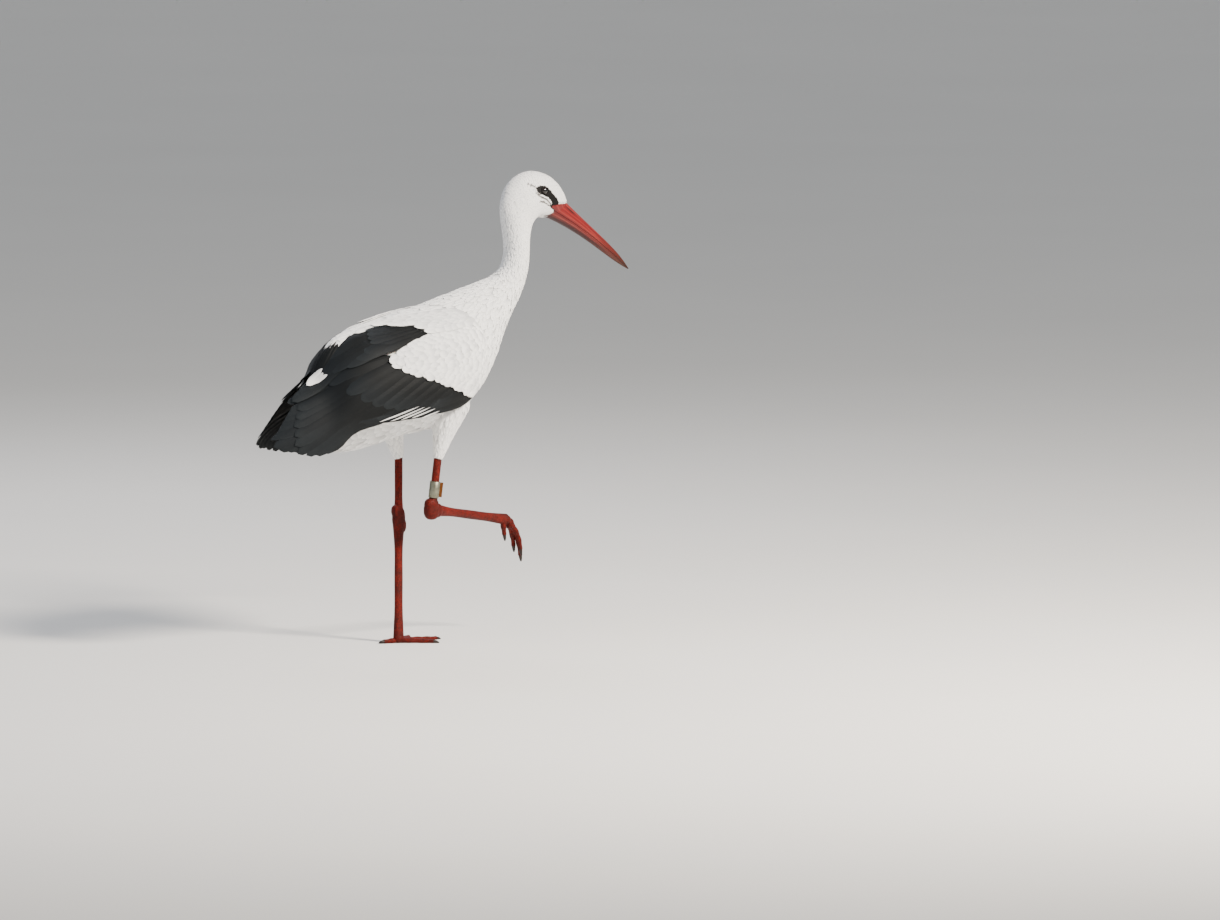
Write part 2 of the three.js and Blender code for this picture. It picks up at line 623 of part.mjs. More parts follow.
const wingSpace = wingBlank(Math.max(...Object.values(WING_LIFT)) + 2 * GAP, 2 * GAP);
const wingRoom = wingSpace.add(wingSpace.translate([0, 0, -2 * GAP]));
const wingRoomRight = toSolid(mirrored(toGeometry(wingRoom)));
for (const [name, leg] of Object.entries({ leg_left: STANDING, leg_right: LIFTED })) {
  const solid = toSolid(thigh(leg)).subtract(bodyRoom).subtract(wingRoom).subtract(wingRoomRight);
  add(`${name}_thigh`, largest(solid), "whiteFeather");
}

/** A toe's path for each toe of a foot, from a function that gives one toe's route. */
function toesOf(route) {
  return Object.fromEntries(Object.entries(TOE_LENGTHS).map(([which, length]) => [which, route(which, length)]));
}

const standingFoot = vector(STANDING.foot);
const toeRoot = standingFoot.clone().setZ(TOE_RADIUS.root * 0.78);
const standingToes = toesOf((which, length) => toePath(toeRoot, TOE_SPREAD[which], length, 1, 2));
addLeg("leg_left", STANDING, standingFoot, standingToes, (solid) => solid.intersect(floorSpace));

const liftedHeading = direction(LIFTED.inward, LIFTED.drop);
const liftedFoot = vector(LIFTED.heel).addScaledVector(liftedHeading, TARSUS_LENGTH);
const hindRoot = liftedFoot.clone().addScaledVector(liftedHeading, -LIFTED_TOES.hindBack);
const liftedToes = toesOf((which, length) => {
  const heading = LIFTED.inward + LIFTED_TOES.turn[which];
  const [root, tip] = which === "hind" ? [LIFTED_TOES.hindPitch, LIFTED_TOES.hindPitch] : LIFTED_TOES.pitch;
  return toePath(which === "hind" ? hindRoot : liftedFoot, heading, length, root, tip);
});
addLeg("leg_right", LIFTED, liftedFoot, liftedToes, (solid) => solid);

/** Split leg ring: a tube with two flat lips pressed together at the front. */
function legRing() {
  const profile = [
    [RING.bore, 0],
    [RING.bore + RING.wall, 0],
    [RING.bore + RING.wall, RING.height],
    [RING.bore, RING.height],
    [RING.bore, 0],
  ].map(([radius, height]) => new THREE.Vector2(radius, height));
  const tube = new THREE.LatheGeometry(profile, 16).rotateX(Math.PI / 2);
  const lips = new THREE.BoxGeometry(RING.lip, 2 * RING.wall, RING.height * 0.9);
  lips.translate(RING.bore + RING.lip / 2 + RING.wall / 2, 0, RING.height / 2);
  const ring = toGeometry(toSolid(tube).add(toSolid(lips)));
  const up = vector(LIFTED.feathersEnd).sub(vector(LIFTED.heel)).normalize();
  ring.applyQuaternion(new THREE.Quaternion().setFromUnitVectors(new THREE.Vector3(0, 0, 1), up));
  const rest = vector(LIFTED.heel).addScaledVector(up, RING.aboveHeel);
  return ring.translate(rest.x, rest.y, rest.z);
}
add("leg_ring", legRing(), "ring");

const stork = new THREE.Group();
const box = new THREE.Box3().setFromObject(figure, true);
figure.position.set(-(box.min.x + box.max.x) / 2, -(box.min.y + box.max.y) / 2, -box.min.z);
stork.add(figure);

export default stork;
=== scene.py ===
"""A white stork standing on its left leg, dressed over its solid model.

The skin, the bill, the eyes, the claws and the leg ring are made as smooth meshes. The plumage is
grown over them by one Geometry Nodes tree, which bends every vane to the form that it lies on.
"""

import logging
import math
from collections.abc import Callable
from dataclasses import dataclass
from enum import Enum
from functools import partial
from itertools import product

import bpy
import numpy as np
from bpy.types import Material, Mesh, Node, NodeSocket, NodeTree, Object
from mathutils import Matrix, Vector
from mathutils.bvhtree import BVHTree

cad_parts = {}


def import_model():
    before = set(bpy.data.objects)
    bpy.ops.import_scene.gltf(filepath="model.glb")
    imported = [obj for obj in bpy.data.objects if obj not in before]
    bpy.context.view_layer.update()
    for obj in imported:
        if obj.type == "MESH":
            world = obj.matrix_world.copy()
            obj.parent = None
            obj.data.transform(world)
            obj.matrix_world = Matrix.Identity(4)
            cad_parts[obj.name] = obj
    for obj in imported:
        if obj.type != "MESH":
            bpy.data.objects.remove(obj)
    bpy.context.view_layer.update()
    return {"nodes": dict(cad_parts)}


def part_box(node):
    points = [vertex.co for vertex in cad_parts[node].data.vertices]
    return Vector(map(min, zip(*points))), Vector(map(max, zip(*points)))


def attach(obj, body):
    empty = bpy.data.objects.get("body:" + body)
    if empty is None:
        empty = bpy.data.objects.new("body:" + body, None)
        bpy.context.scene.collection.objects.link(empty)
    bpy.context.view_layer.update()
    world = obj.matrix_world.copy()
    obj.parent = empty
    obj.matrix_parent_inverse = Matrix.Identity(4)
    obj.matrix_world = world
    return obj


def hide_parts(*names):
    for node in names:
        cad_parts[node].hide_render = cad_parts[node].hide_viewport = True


log = logging.getLogger("stork")
Array = np.ndarray
Pair = tuple[float, float]
Triple = tuple[float, float, float]
Adder = Callable[..., Node]  # adds a node to one tree
Finishes = dict[str, Material]  # the bird's materials, by the names of their finishes
MM = 0.001
KERATIN_IOR = 1.54
CORNEA_IOR = 1.376
ROD_SIDES = 24  # vertices round a leg, a toe or a claw
PATCH = 0.003  # size of one feather on the bake map
OVERHANG = 0.3  # share of a vane's reach past the edge of what it lies on


class Side(Enum):
    """The two sides of the bird, by the sign of Y."""

    LEFT = 1
    RIGHT = -1

    @property
    def label(self) -> str:
        """The side's name as nodes and pieces have it."""
        return self.name.lower()


# --- small helpers
def to_linear(code: str) -> tuple[float, float, float, float]:
    """Turn an sRGB colour into the linear one that shaders take.

    Args:
        code: six hex digits, such as "b93636".

    Returns:
        Red, green, blue and an alpha of 1.
    """
    parts = (int(code[k:k + 2], 16) / 255 for k in (0, 2, 4))
    red, green, blue = (p / 12.92 if p <= 0.04045 else ((p + 0.055) / 1.055) ** 2.4 for p in parts)
    return red, green, blue, 1.0


def add_node(tree: NodeTree, kind: str, inputs: dict | tuple = (), **settings: object) -> Node:
    """Add a node with its settings and links.

    Args:
        tree: the node tree that gets it.
        kind: the node's Blender type; ShaderNode may be left out of it.
        inputs: by name or in order, a value, a socket, or a node that gives its first output.
        **settings: the node's own properties.

    Returns:
        The new node.
    """
    node = tree.nodes.new(kind if "Node" in kind else f"ShaderNode{kind}")
    for key, value in settings.items():
        setattr(node, key, value)
    for key, value in inputs.items() if isinstance(inputs, dict) else enumerate(inputs):
        source = value.outputs[0] if isinstance(value, Node) else value
        if isinstance(source, NodeSocket):
            tree.links.new(source, node.inputs[key])
        else:
            node.inputs[key].default_value = source
    return node


def unit(vectors: Array) -> Array:
    """Return the vectors at length one."""
    return vectors / np.maximum(np.linalg.norm(vectors, axis=-1, keepdims=True), 1e-12)


def flowing(rows: tuple | list | Array, place: Array) -> Array:
    """Smooth values between rows of numbers that stand at place 0, 1, 2 and on.

    Args:
        rows: one row for each station.
        place: where the values are wanted.

    Returns:
        An array of `place`'s shape with one more axis for the row's numbers.
    """
    rows = np.array(rows, float)
    padded = np.vstack([2 * rows[0] - rows[1], rows, 2 * rows[-1] - rows[-2]])
    place = np.clip(np.asarray(place, float), 0, len(rows) - 1)
    first = np.minimum(place.astype(int), len(rows) - 2)
    t = (place - first)[..., None]
    a, b, c, d = (padded[first + k] for k in range(4))
    return b + 0.5 * t * (c - a + t * (2 * a - 5 * b + 4 * c - d + t * (3 * (b - c) + d - a)))


def along_line(line: tuple | list, shares: Array) -> Array:
    """Points on a polyline at shares of its length.

    Args:
        line: the polyline's points.
        shares: 0 for its start to 1 for its end.

    Returns:
        One point for each share.
    """
    points = np.array(line, float)
    steps = np.linalg.norm(np.diff(points, axis=0), axis=1)
    reached = np.concatenate([[0], np.cumsum(steps)]) / steps.sum()
    return columns(*(np.interp(shares, reached, column) for column in points.T))


def new_object(name: str, points: Array, faces: list | Array) -> Object:
    """Make a smooth-shaded mesh object at the origin.

    Args:
        name: the object's name.
        points: its vertices, in metres.
        faces: its faces, as vertex numbers.

    Returns:
        The object, linked to the scene.
    """
    mesh = bpy.data.meshes.new(name)
    mesh.from_pydata(np.asarray(points, float).tolist(), [], [list(map(int, face)) for face in faces])
    mesh.shade_smooth()
    return link(name, mesh)


def add_attribute(mesh: Mesh, name: str, values: Array) -> None:
    """Store numbers or vectors on a mesh's points.

    Args:
        mesh: the mesh.
        name: the attribute's name.
        values: one number or one vector for each point.
    """
    kind, slot = ("FLOAT", "value") if values.ndim == 1 else ("FLOAT_VECTOR", "vector")
    layer = mesh.attributes.new(name, kind, "POINT")
    layer.data.foreach_set(slot, np.ascontiguousarray(values, np.float32).ravel())


def add_map(mesh: Mesh, name: str, points: Array) -> None:
    """Store a UV map from one place for each vertex.

    Args:
        mesh: the mesh.
        name: the map's name.
        points: one place on the map for each vertex.
    """
    layer = mesh.uv_layers.new(name=name)
    loops = np.empty(len(mesh.loops), np.int32)
    mesh.loops.foreach_get("vertex_index", loops)
    layer.uv.foreach_set("vector", points[loops].astype(np.float32).ravel())


def closed_tube(name: str, rings: Array, loop: bool = False) -> Object:
    """Make a closed mesh through rings, with its faces outwards.

    Args:
        name: the object's name.
        rings: points by ring and by place around it, in metres.
        loop: whether the last ring joins the first, rather than both ends being closed.

    Returns:
        The object; its two end points, where it has them, follow the rings' vertices.
    """
    count, around, _ = rings.shape
    points = rings.reshape(-1, 3)
    faces = []
    for r in range(count if loop else count - 1):
        ahead = ((r + 1) % count - r) * around
        for k in range(around):
            a, b = r * around + k, r * around + (k + 1) % around
            faces.append([a, b, b + ahead, a + ahead])
    if not loop:
        start, last = count * around, (count - 1) * around
        for k in range(around):
            after = (k + 1) % around
            faces += [[start, after, k], [start + 1, last + k, last + after]]
        points = np.vstack([points, rings[0].mean(axis=0), rings[-1].mean(axis=0)])
    made = new_object(name, points, faces)
    face_outwards(made)
    return made


def face_outwards(made: Object) -> None:
    """Turn a closed mesh's faces outwards where its volume comes out negative."""
    mesh = made.data
    mesh.calc_loop_triangles()
    corners = np.empty(len(mesh.loop_triangles) * 3, np.int32)
    mesh.loop_triangles.foreach_get("vertices", corners)
    points = read_points(mesh)
    a, b, c = (points[corners.reshape(-1, 3)[:, k]] for k in range(3))
    if np.einsum("ij,ij->i", a, np.cross(b, c)).sum() < 0:
        mesh.flip_normals()


def read_points(mesh: Mesh) -> Array:
    """Return a mesh's vertices as an array."""
    points = np.empty(len(mesh.vertices) * 3, np.float32)
    mesh.vertices.foreach_get("co", points)
    return points.reshape(-1, 3).astype(float)


def link(name: str, data: bpy.types.ID) -> Object:
    """Put an object with that data in the scene and return it."""
    made = bpy.data.objects.new(name, data)
    bpy.context.scene.collection.objects.link(made)
    return made


def evaluated(made: Object) -> Mesh:
    """Return an object's mesh as its modifiers make it."""
    bpy.context.view_layer.update()
    return bpy.data.meshes.new_from_object(made.evaluated_get(bpy.context.evaluated_depsgraph_get()))


def move_points(mesh: Mesh, points: Array) -> None:
    """Put a mesh's vertices at new places."""
    mesh.vertices.foreach_set("co", points.astype(np.float32).ravel())


def full_turn(count: int) -> Array:
    """Return angles spread evenly over a full turn."""
    return np.linspace(0, 2 * math.pi, count, endpoint=False)


def columns(*parts: Array) -> Array:
    """Return values side by side, as one row for each place."""
    return np.stack(np.broadcast_arrays(*parts), axis=-1)


def drop(*objects: Object) -> None:
    """Delete helper objects that aren't part of the bird."""
    for helper in objects:
        bpy.data.objects.remove(helper, do_unlink=True)


# --- where things are
@dataclass(frozen=True)
class BirdFrame:
    """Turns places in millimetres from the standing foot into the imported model's metres."""

    shift: Array
    eye: Triple = (279.5, 19.8, 736.5)

    @classmethod
    def from_model(cls) -> "BirdFrame":
        """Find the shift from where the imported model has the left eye."""
        low, high = (np.array(corner, float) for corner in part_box("eye_left"))
        return cls((low + high) / 2 - np.array(cls.eye) * MM)

    def metres(self, places: Array) -> Array:
        """Return places of the bird, in millimetres, as the model's metres."""
        return np.asarray(places, float) * MM + self.shift

    def millimetres(self, points: Array) -> Array:
        """Return the model's metres as millimetres of the bird."""
        return (np.asarray(points, float) - self.shift) / MM


@dataclass(frozen=True)
class BodyForm:
    """Outer form of the plumage from the bill's root to the tail's tip.

    Each station gives where a cross-section meets the upper and the lower outline of the side view,
    half its width, how far its widest height is shifted down, and its superellipse's exponent.
    """

    frame: BirdFrame
    stations: tuple[tuple[float, ...], ...] = (
        (341, 711, 297, 690, 13.2, 0.0, 2.1),
        (332, 730, 289, 690, 18.5, 0.05, 2.1),
        (317, 748, 283, 691, 23.0, 0.05, 2.1),
        (295, 762, 277, 691, 25.8, 0.04, 2.2),
        (266, 768, 272, 688, 27.2, 0.02, 2.2),
        (237, 759, 267, 682, 27.5, 0.0, 2.1),
        (217, 739, 264, 672, 25.5, 0.0, 2.0),
        (210, 712, 262, 658, 23.5, 0.0, 2.0),
        (213, 684, 261, 643, 22.3, 0.0, 2.0),
        (217, 658, 260, 626, 22.0, 0.0, 2.0),
        (218, 634, 257, 606, 22.6, 0.0, 2.0),
        (210, 611, 249, 583, 25.0, 0.0, 2.0),
        (188, 597, 236, 558, 30.0, 0.04, 2.0),
        (157, 588, 216, 531, 40.0, 0.08, 2.0),
        (121, 578, 196, 498, 52.0, 0.1, 2.0),
        (81, 567, 177, 459, 64.0, 0.1, 2.0),
        (40, 555, 148, 417, 73.0, 0.08, 2.1),
        (0, 547, 111, 382, 77.0, 0.05, 2.1),
        (-45, 536.5, 72, 358, 76.0, 0.08, 2.1),
        (-84, 528.5, 32, 351, 70.0, 0.12, 2.1),
        (-116, 518, -12, 344, 61.0, 0.14, 2.0),
        (-140, 504, -56, 334, 51.0, 0.12, 2.0),
        (-158, 482, -95, 327, 43.0, 0.1, 2.0),
        (-172, 455, -130, 326, 37.0, 0.05, 2.1),
        (-189, 418, -160, 328, 32.0, 0.05, 2.3),
        (-207, 376, -190, 332, 29.0, 0.05, 2.6),
        (-218, 353, -212, 335, 27.0, 0.0, 3.0),
        (-228, 344.5, -228, 338.0, 26.0, 0.0, 3.0),
    )
    probe: float = 0.01  # step for finding directions on the form

    @property
    def last(self) -> float:
        """Place of the last station."""
        return len(self.stations) - 1.0

    def at(self, place: Array, angle: Array, depth: Array | float = 0.0) -> Array:
        """Find points of the form.

        Args:
            place: where along the stations.
            angle: 0 at the back, a quarter turn on the left side, half a turn at the belly.
            depth: how far inside the form, in millimetres.

        Returns:
            Points in metres.
        """
        row = flowing(self.stations, place)
        back, front = row[..., 0:2], row[..., 2:4]
        half, egg, square = row[..., 4], row[..., 5], row[..., 6]
        reach = (back - front) / 2
        length = np.linalg.norm(reach, axis=-1)
        inset = np.minimum(depth, 0.45 * np.minimum(length, half))
        cos, sin = np.cos(angle), np.sin(angle)
        rise = np.sign(cos) * np.abs(cos) ** (2 / square)
        out = np.sign(sin) * np.abs(sin) ** (2 / square)
        middle = (back + front) / 2 + reach * (rise * (1 - inset / length))[..., None]
        side = (half - inset) * out * (1 - egg * rise)
        return self.frame.metres(columns(middle[..., 0], side, middle[..., 1]))

    def basis(self, place: Array, angle: Array) -> tuple[Array, Array, Array]:
        """Find the form's directions.

        Args:
            place: where along the stations.
            angle: where around the form.

        Returns:
            Unit vectors towards the tail, across that, and outwards.
        """
        step = self.probe
        after, before = np.minimum(place + step, self.last), np.maximum(place - step, 0)
        ahead = self.at(after, angle) - self.at(before, angle)
        around = self.at(place, angle + step) - self.at(place, angle - step)
        outward = unit(np.cross(around, ahead))
        along = unit(ahead - outward * np.sum(ahead * outward, axis=-1, keepdims=True))
        return along, np.cross(outward, along), outward

    def tube(self, depth: tuple | float, step: float, around: int) -> Object:
        """Make the form as a closed mesh.

        Args:
            depth: how far inside the form it lies, or places and the depths there.
            step: distance between its rings, in stations.
            around: vertices round it.

        Returns:
            The object.
        """
        places = np.linspace(0, self.last, round(self.last / step) + 1)
        grid = np.meshgrid(places, full_turn(around), indexing="ij")
        depths = depth if np.ndim(depth) == 0 else np.interp(places, *depth)[:, None]
        return closed_tube("body", self.at(grid[0], grid[1], depths))


@dataclass(frozen=True)
class WingForm:
    """Outer form of a folded wing, from the shoulder back to its tip.

    Each station gives x, its top edge and its bottom edge as [distance from the midplane, height],
    how far out it bulges and how far down its upper part slopes.
    """

    frame: BirdFrame
    side: Side
    stations: tuple[tuple[float, ...], ...] = (
        (130, 52, 514, 56, 470, 62, 0.2),
        (116, 46, 537, 66, 432, 78, 0.2),
        (90, 40, 550, 76, 404, 90, 0.2),
        (50, 33, 550, 85, 388, 97, 0.21),
        (0, 27, 543, 87, 379, 98, 0.22),
        (-50, 17, 534, 84, 375, 93, 0.24),
        (-100, 10, 522, 77, 374, 84, 0.28),
        (-140, 7, 497, 66, 363, 72, 0.34),
        (-170, 6, 459, 56, 325, 61, 0.38),
        (-198, 4, 440, 50, 322, 53, 0.42),
        (-225, 4, 420, 43, 324, 45, 0.46),
        (-250, 9, 386, 34, 329, 36, 0.42),
        (-275, 11, 351, 20, 343, 22, 0.3),
    )
    sheet_steps: tuple[int, int] = (72, 32)  # along the wing and down it
    arm_places: Pair = (0.6, 6.6)
    arm_shares: Pair = (0.08, 0.9)
    arm_depth: float = 4.0  # how far the flesh lies under the wing's outside, in millimetres
    arm_thick: float = 5.0

    def ring(self, place: Array, share: Array, depth: float = 0.0) -> Array:
        """Find points of the wing's outside.

        Args:
            place: where along the stations.
            share: 0 at the top edge to 1 at the bottom edge.
            depth: how far inside, in millimetres.

        Returns:
            Points in metres.
        """
        row = flowing(self.stations, place)
        x, top_y, top_z, low_y, low_z, bulge, roof = np.moveaxis(row, -1, 0)
        reach = (bulge - 0.125 * (top_y + low_y)) / 0.75
        height = top_z - low_z
        corners = [
            columns(top_y, top_z),
            columns(reach, top_z - roof * height),
            columns(reach, low_z + 0.3 * height),
            columns(low_y, low_z),
        ]
        s = share[..., None]
        weights = ((1 - s) ** 3, 3 * s * (1 - s) ** 2, 3 * s * s * (1 - s), s ** 3)
        slopes = (-3 * (1 - s) ** 2, 3 * (1 - s) * (1 - 3 * s), 3 * s * (2 - 3 * s), 3 * s * s)
        flat = sum(w * corner for w, corner in zip(weights, corners))
        down = unit(sum(w * corner for w, corner in zip(slopes, corners)))
        y = flat[..., 0] + down[..., 1] * depth
        z = flat[..., 1] - down[..., 0] * depth
        return self.frame.metres(columns(x, self.side.value * y, z))

    def sheet(self) -> Object:
        """Make the wing's outside as an open mesh with its faces outwards.

        Returns:
            The object.
        """
        steps, across = self.sheet_steps
        last = len(self.stations) - 1
        grid = np.meshgrid(np.linspace(0, last, steps + 1), np.linspace(0, 1, across + 1), indexing="ij")
        starts = [r * (across + 1) + k for r in range(steps) for k in range(across)]
        faces = np.array([[s, s + 1, s + across + 2, s + across + 1] for s in starts])
        if self.side is Side.RIGHT:
            faces = faces[:, ::-1]
        return new_object("wing", self.ring(*grid).reshape(-1, 3), faces)

    def arm(self) -> Object:
        """Make the flesh of the wing as a closed mesh inside its front half.

        Returns:
            The object.
        """
        shares = np.linspace(*self.arm_shares, 18)
        grid = np.meshgrid(np.linspace(*self.arm_places, 40), shares, indexing="ij")
        rim = np.sin(np.pi * (shares - shares[0]) / (shares[-1] - shares[0]))
        outside = self.ring(*grid, depth=self.arm_depth)
        inside = self.ring(*grid, depth=self.arm_depth + 1 + self.arm_thick * rim)
        return closed_tube("arm", np.concatenate([outside, inside[:, ::-1]], axis=1))


@dataclass(frozen=True)
class LegForm:
    """One leg: where its joints are and how thick it is, in millimetres."""

    side: Side
    frame: BirdFrame
    hip: Triple
    feathers_end: Triple
    heel: Triple
    foot: Triple
    knobs: tuple[tuple[Triple, Triple], ...]  # middles and half sizes of the heel's knobs
    fluff: float  # how far the thigh's feathers stand off, in millimetres
    toes: dict[str, list[Triple]]
    web: Triple  # half sizes of the skin between the toes' roots
    thigh_sizes: tuple[Pair, ...] = ((12, 9), (35, 28), (26, 24), (15.5, 14.5), (7.6, 7.0))
    tibia: Pair = (6.9, 6.0)
    tarsus: Pair = (7.4, 6.1)
    root: Pair = (11.6, 8.8)  # tarsus at the heel
    joint: Pair = (9.4, 8.0)
    toe_radius: Pair = (6.1, 3.9)
    pad_radius: float = 9.2

    def thigh_at(self, share: Array, angle: Array, depth: float = 0.0) -> Array:
        """Find points of the feathered thigh's outer form.

        Args:
            share: 0 at the hip to 1 where the feathers end.
            angle: where around it.
            depth: how far inside, in millimetres.

        Returns:
            Points in metres.
        """
        start, end = np.array(self.hip, float), np.array(self.feathers_end, float)
        size = flowing(self.thigh_sizes, share * (len(self.thigh_sizes) - 1))
        ahead = (end - start) / np.linalg.norm(end - start)
        wide = unit(np.cross(ahead, [1.0, 0.0, 0.0]))
        size = np.maximum(size - depth, 1.0)
        middle = start + (end - start) * share[..., None]
        deep = np.cross(wide, ahead) * (size[..., 0] * np.cos(angle))[..., None]
        return self.frame.metres(middle + deep + wide * (size[..., 1] * np.sin(angle))[..., None])

    def thigh_basis(self, share: Array, angle: Array) -> tuple[Array, Array, Array]:
        """Find the thigh's directions.

        Args:
            share: where along it.
            angle: where around it.

        Returns:
            Unit vectors down the leg, across that, and outwards.
        """
        step = 0.01
        ahead = self.thigh_at(share + step, angle) - self.thigh_at(share - step, angle)
        around = self.thigh_at(share, angle + step) - self.thigh_at(share, angle - step)
        outward = unit(np.cross(around, ahead))
        core = self.thigh_at(share, angle) - self.thigh_at(share, angle + math.pi)
        outward *= np.sign(np.sum(outward * core, axis=-1, keepdims=True))
        return unit(ahead), np.cross(outward, unit(ahead)), outward

    def thigh_tube(self, depth: float = 0.0) -> Object:
        """Make the thigh's form, or one that many millimetres inside it, as a closed mesh."""
        share, angle = np.meshgrid(np.linspace(0, 1, 41), full_turn(32), indexing="ij")
        return closed_tube("thigh", self.thigh_at(share, angle, depth))


def rod(frame: BirdFrame, path: list, sizes: list | Array, steps: int = 48) -> Object:
    """Make a closed rod along a smooth path.

    Args:
        frame: what turns its millimetres into metres.
        path: points that it runs through.
        sizes: [half height, half width] rows spread evenly along it.
        steps: lengths along it.

    Returns:
        The object.
    """
    share = np.linspace(0, 1, steps + 1)
    middle = flowing(path, share * (len(path) - 1))
    size = flowing(sizes, share * (len(sizes) - 1))
    ahead = unit(np.gradient(middle, axis=0))
    side = columns(-ahead[:, 1], ahead[:, 0], 0)
    steep = np.linalg.norm(side, axis=1) < 0.3
    side[steep] = np.array([0, 1, 0]) - ahead[steep] * ahead[steep][:, 1:2]
    side = unit(side)
    up = np.cross(ahead, side)
    angles = full_turn(ROD_SIDES)[None, :, None]
    high = np.cos(angles) * (up * size[:, :1])[:, None]
    wide = np.sin(angles) * (side * size[:, 1:])[:, None]
    return closed_tube("rod", frame.metres(middle[:, None] + high + wide))


def ellipsoid(frame: BirdFrame, centre: tuple, sizes: tuple, around: int = 24, square: float = 2.0) -> Object:
    """Make a closed ellipsoid, or a blockier one.

    Args:
        frame: what turns its millimetres into metres.
        centre: its middle.
        sizes: its half sizes.
        around: vertices round it.
        square: 2 for an ellipsoid, more for a blockier form.

    Returns:
        The object.
    """
    t, a = np.meshgrid(np.linspace(0.02, math.pi - 0.02, around // 2 + 1), full_turn(around), indexing="ij")
    ball = columns(np.sin(t) * np.cos(a), np.sin(t) * np.sin(a), np.cos(t))
    ball /= (np.abs(ball) ** square).sum(axis=-1, keepdims=True) ** (1 / square)
    return closed_tube("knob", frame.metres(np.array(centre) + ball * np.array(sizes)))


# --- finishes
def layered(add: Adder, ground: str, layers: tuple) -> NodeSocket:
    """Lay colours over one another.

    Args:
        add: adds a node to the material.
        ground: the lowest colour.
        layers: the share and the colour of each layer, from the lowest.

    Returns:
        The socket of what shows.
    """
    colour = to_linear(ground)
    for share, code in layers:
        colour = add("Mix", {0: share, 6: colour, 7: to_linear(code)}, data_type="RGBA").outputs[2]
    return colour


@dataclass(frozen=True)
class Finish:
    """What every finish has: a name, and a material whose tree ends in the standard surface."""

    name: str

    def surface(self, add: Adder) -> dict:
        """Return the surface's inputs, from the nodes that `add` adds."""
        raise NotImplementedError

    def material(self) -> Material:
        """Build the material.

        Returns:
            The material.
        """
        made = bpy.data.materials.new(self.name)
        made.use_nodes = True
        made.node_tree.nodes.clear()
        add = partial(add_node, made.node_tree)
        add("OutputMaterial", {"Surface": add("BsdfPrincipled", self.surface(add))})
        return made


@dataclass(frozen=True)
class PlumageFinish(Finish):
    """Keratin feather vanes: matt barbs on a thin shaft, with a lighter rim, painted shade towards the root
    where the vanes overlap, and painted shade wherever the tone falls below 0.
    """

    bright: str
    shade: str
    edge: str
    # Root colour: painted shade where the vane above overlaps this one; the barbs' grooves take this colour
    # too.
    root: str
    # Painted shade in creases and under the body, which a tone below 0 mixes in.
    crease: str
    sheen: float
    roughness: float
    specular: float
    barbs: float  # barb rows along one vane
    relief: float  # height of a barb, in metres

    def surface(self, add: Adder) -> dict:
        """Draw a vane by its own map and tone.

        Args:
            add: adds a node to the material.

        Returns:
            The surface's inputs.
        """
        vane = add("UVMap", uv_map="vane")
        across, along, _ = add("SeparateXYZ", (vane,)).outputs
        tone = add("Attribute", attribute_name="tone").outputs["Fac"]
        centred = add("Math", (across, 0.5), operation="SUBTRACT")
        away = add("Math", (centred,), operation="ABSOLUTE")
        # Barbs leave the shaft at a slant; they are drawn a few times coarser than the real 0.4 mm.
        slant = add("Math", (away, -0.5, along), operation="MULTIPLY_ADD")
        wave = add("Math", (slant, self.barbs * 2 * math.pi), operation="MULTIPLY")
        barb = add("Math", (wave,), operation="SINE")
        place = add("TexCoord").outputs["Object"]
        # Dust, wear and damp change the plumage's tone over some centimetres.
        patchy = add("TexNoise", {"Vector": place, "Scale": 28.0, "Detail": 3.0})
        mixed = add("Math", (patchy, 0.55, tone), operation="MULTIPLY_ADD")
        level = add("MapRange", (mixed, 0.2, 1.0))
        # A lighter fringe along the edge and the tip: the vane's own paler rim, and on the white vanes
        # painted light shining through the thin edge.
        rim = add("MapRange", (away, 0.36, 0.5))
        tip = add("MapRange", (along, 0.9, 1.0))
        border = add("Math", (rim, tip), operation="MAXIMUM")
        soft = add("Math", (border, 0.8), operation="MULTIPLY")
        # Painted shade: each vane darkens from its middle towards its root, where the next vane lies over it.
        down = add("MapRange", (along, 0.5, 0.93, 0.85, 0.0))
        # A tone below 0 mixes in the painted crease shade.
        folded = add("MapRange", (tone, 0.0, -1.0))
        streak = add("Math", (barb, 0.06, 0.06), operation="MULTIPLY_ADD")
        colour = layered(add, self.shade, ((level, self.bright), (soft, self.edge), (down, self.root),
                                           (folded, self.crease), (streak, self.root)))
        shaft = add("MapRange", (away, 0.0, 0.035, 1.0, 0.0))
        height = add("Math", (shaft, 1.5, barb), operation="MULTIPLY_ADD")
        return {
            "Base Color": colour,
            "Roughness": self.roughness,
            "Normal": add("Bump", {"Height": height, "Strength": 0.35, "Distance": self.relief}),
            "Sheen Weight": self.sheen,
            "Sheen Roughness": 0.4,
            "IOR": KERATIN_IOR,
            "Specular IOR Level": self.specular,
        }


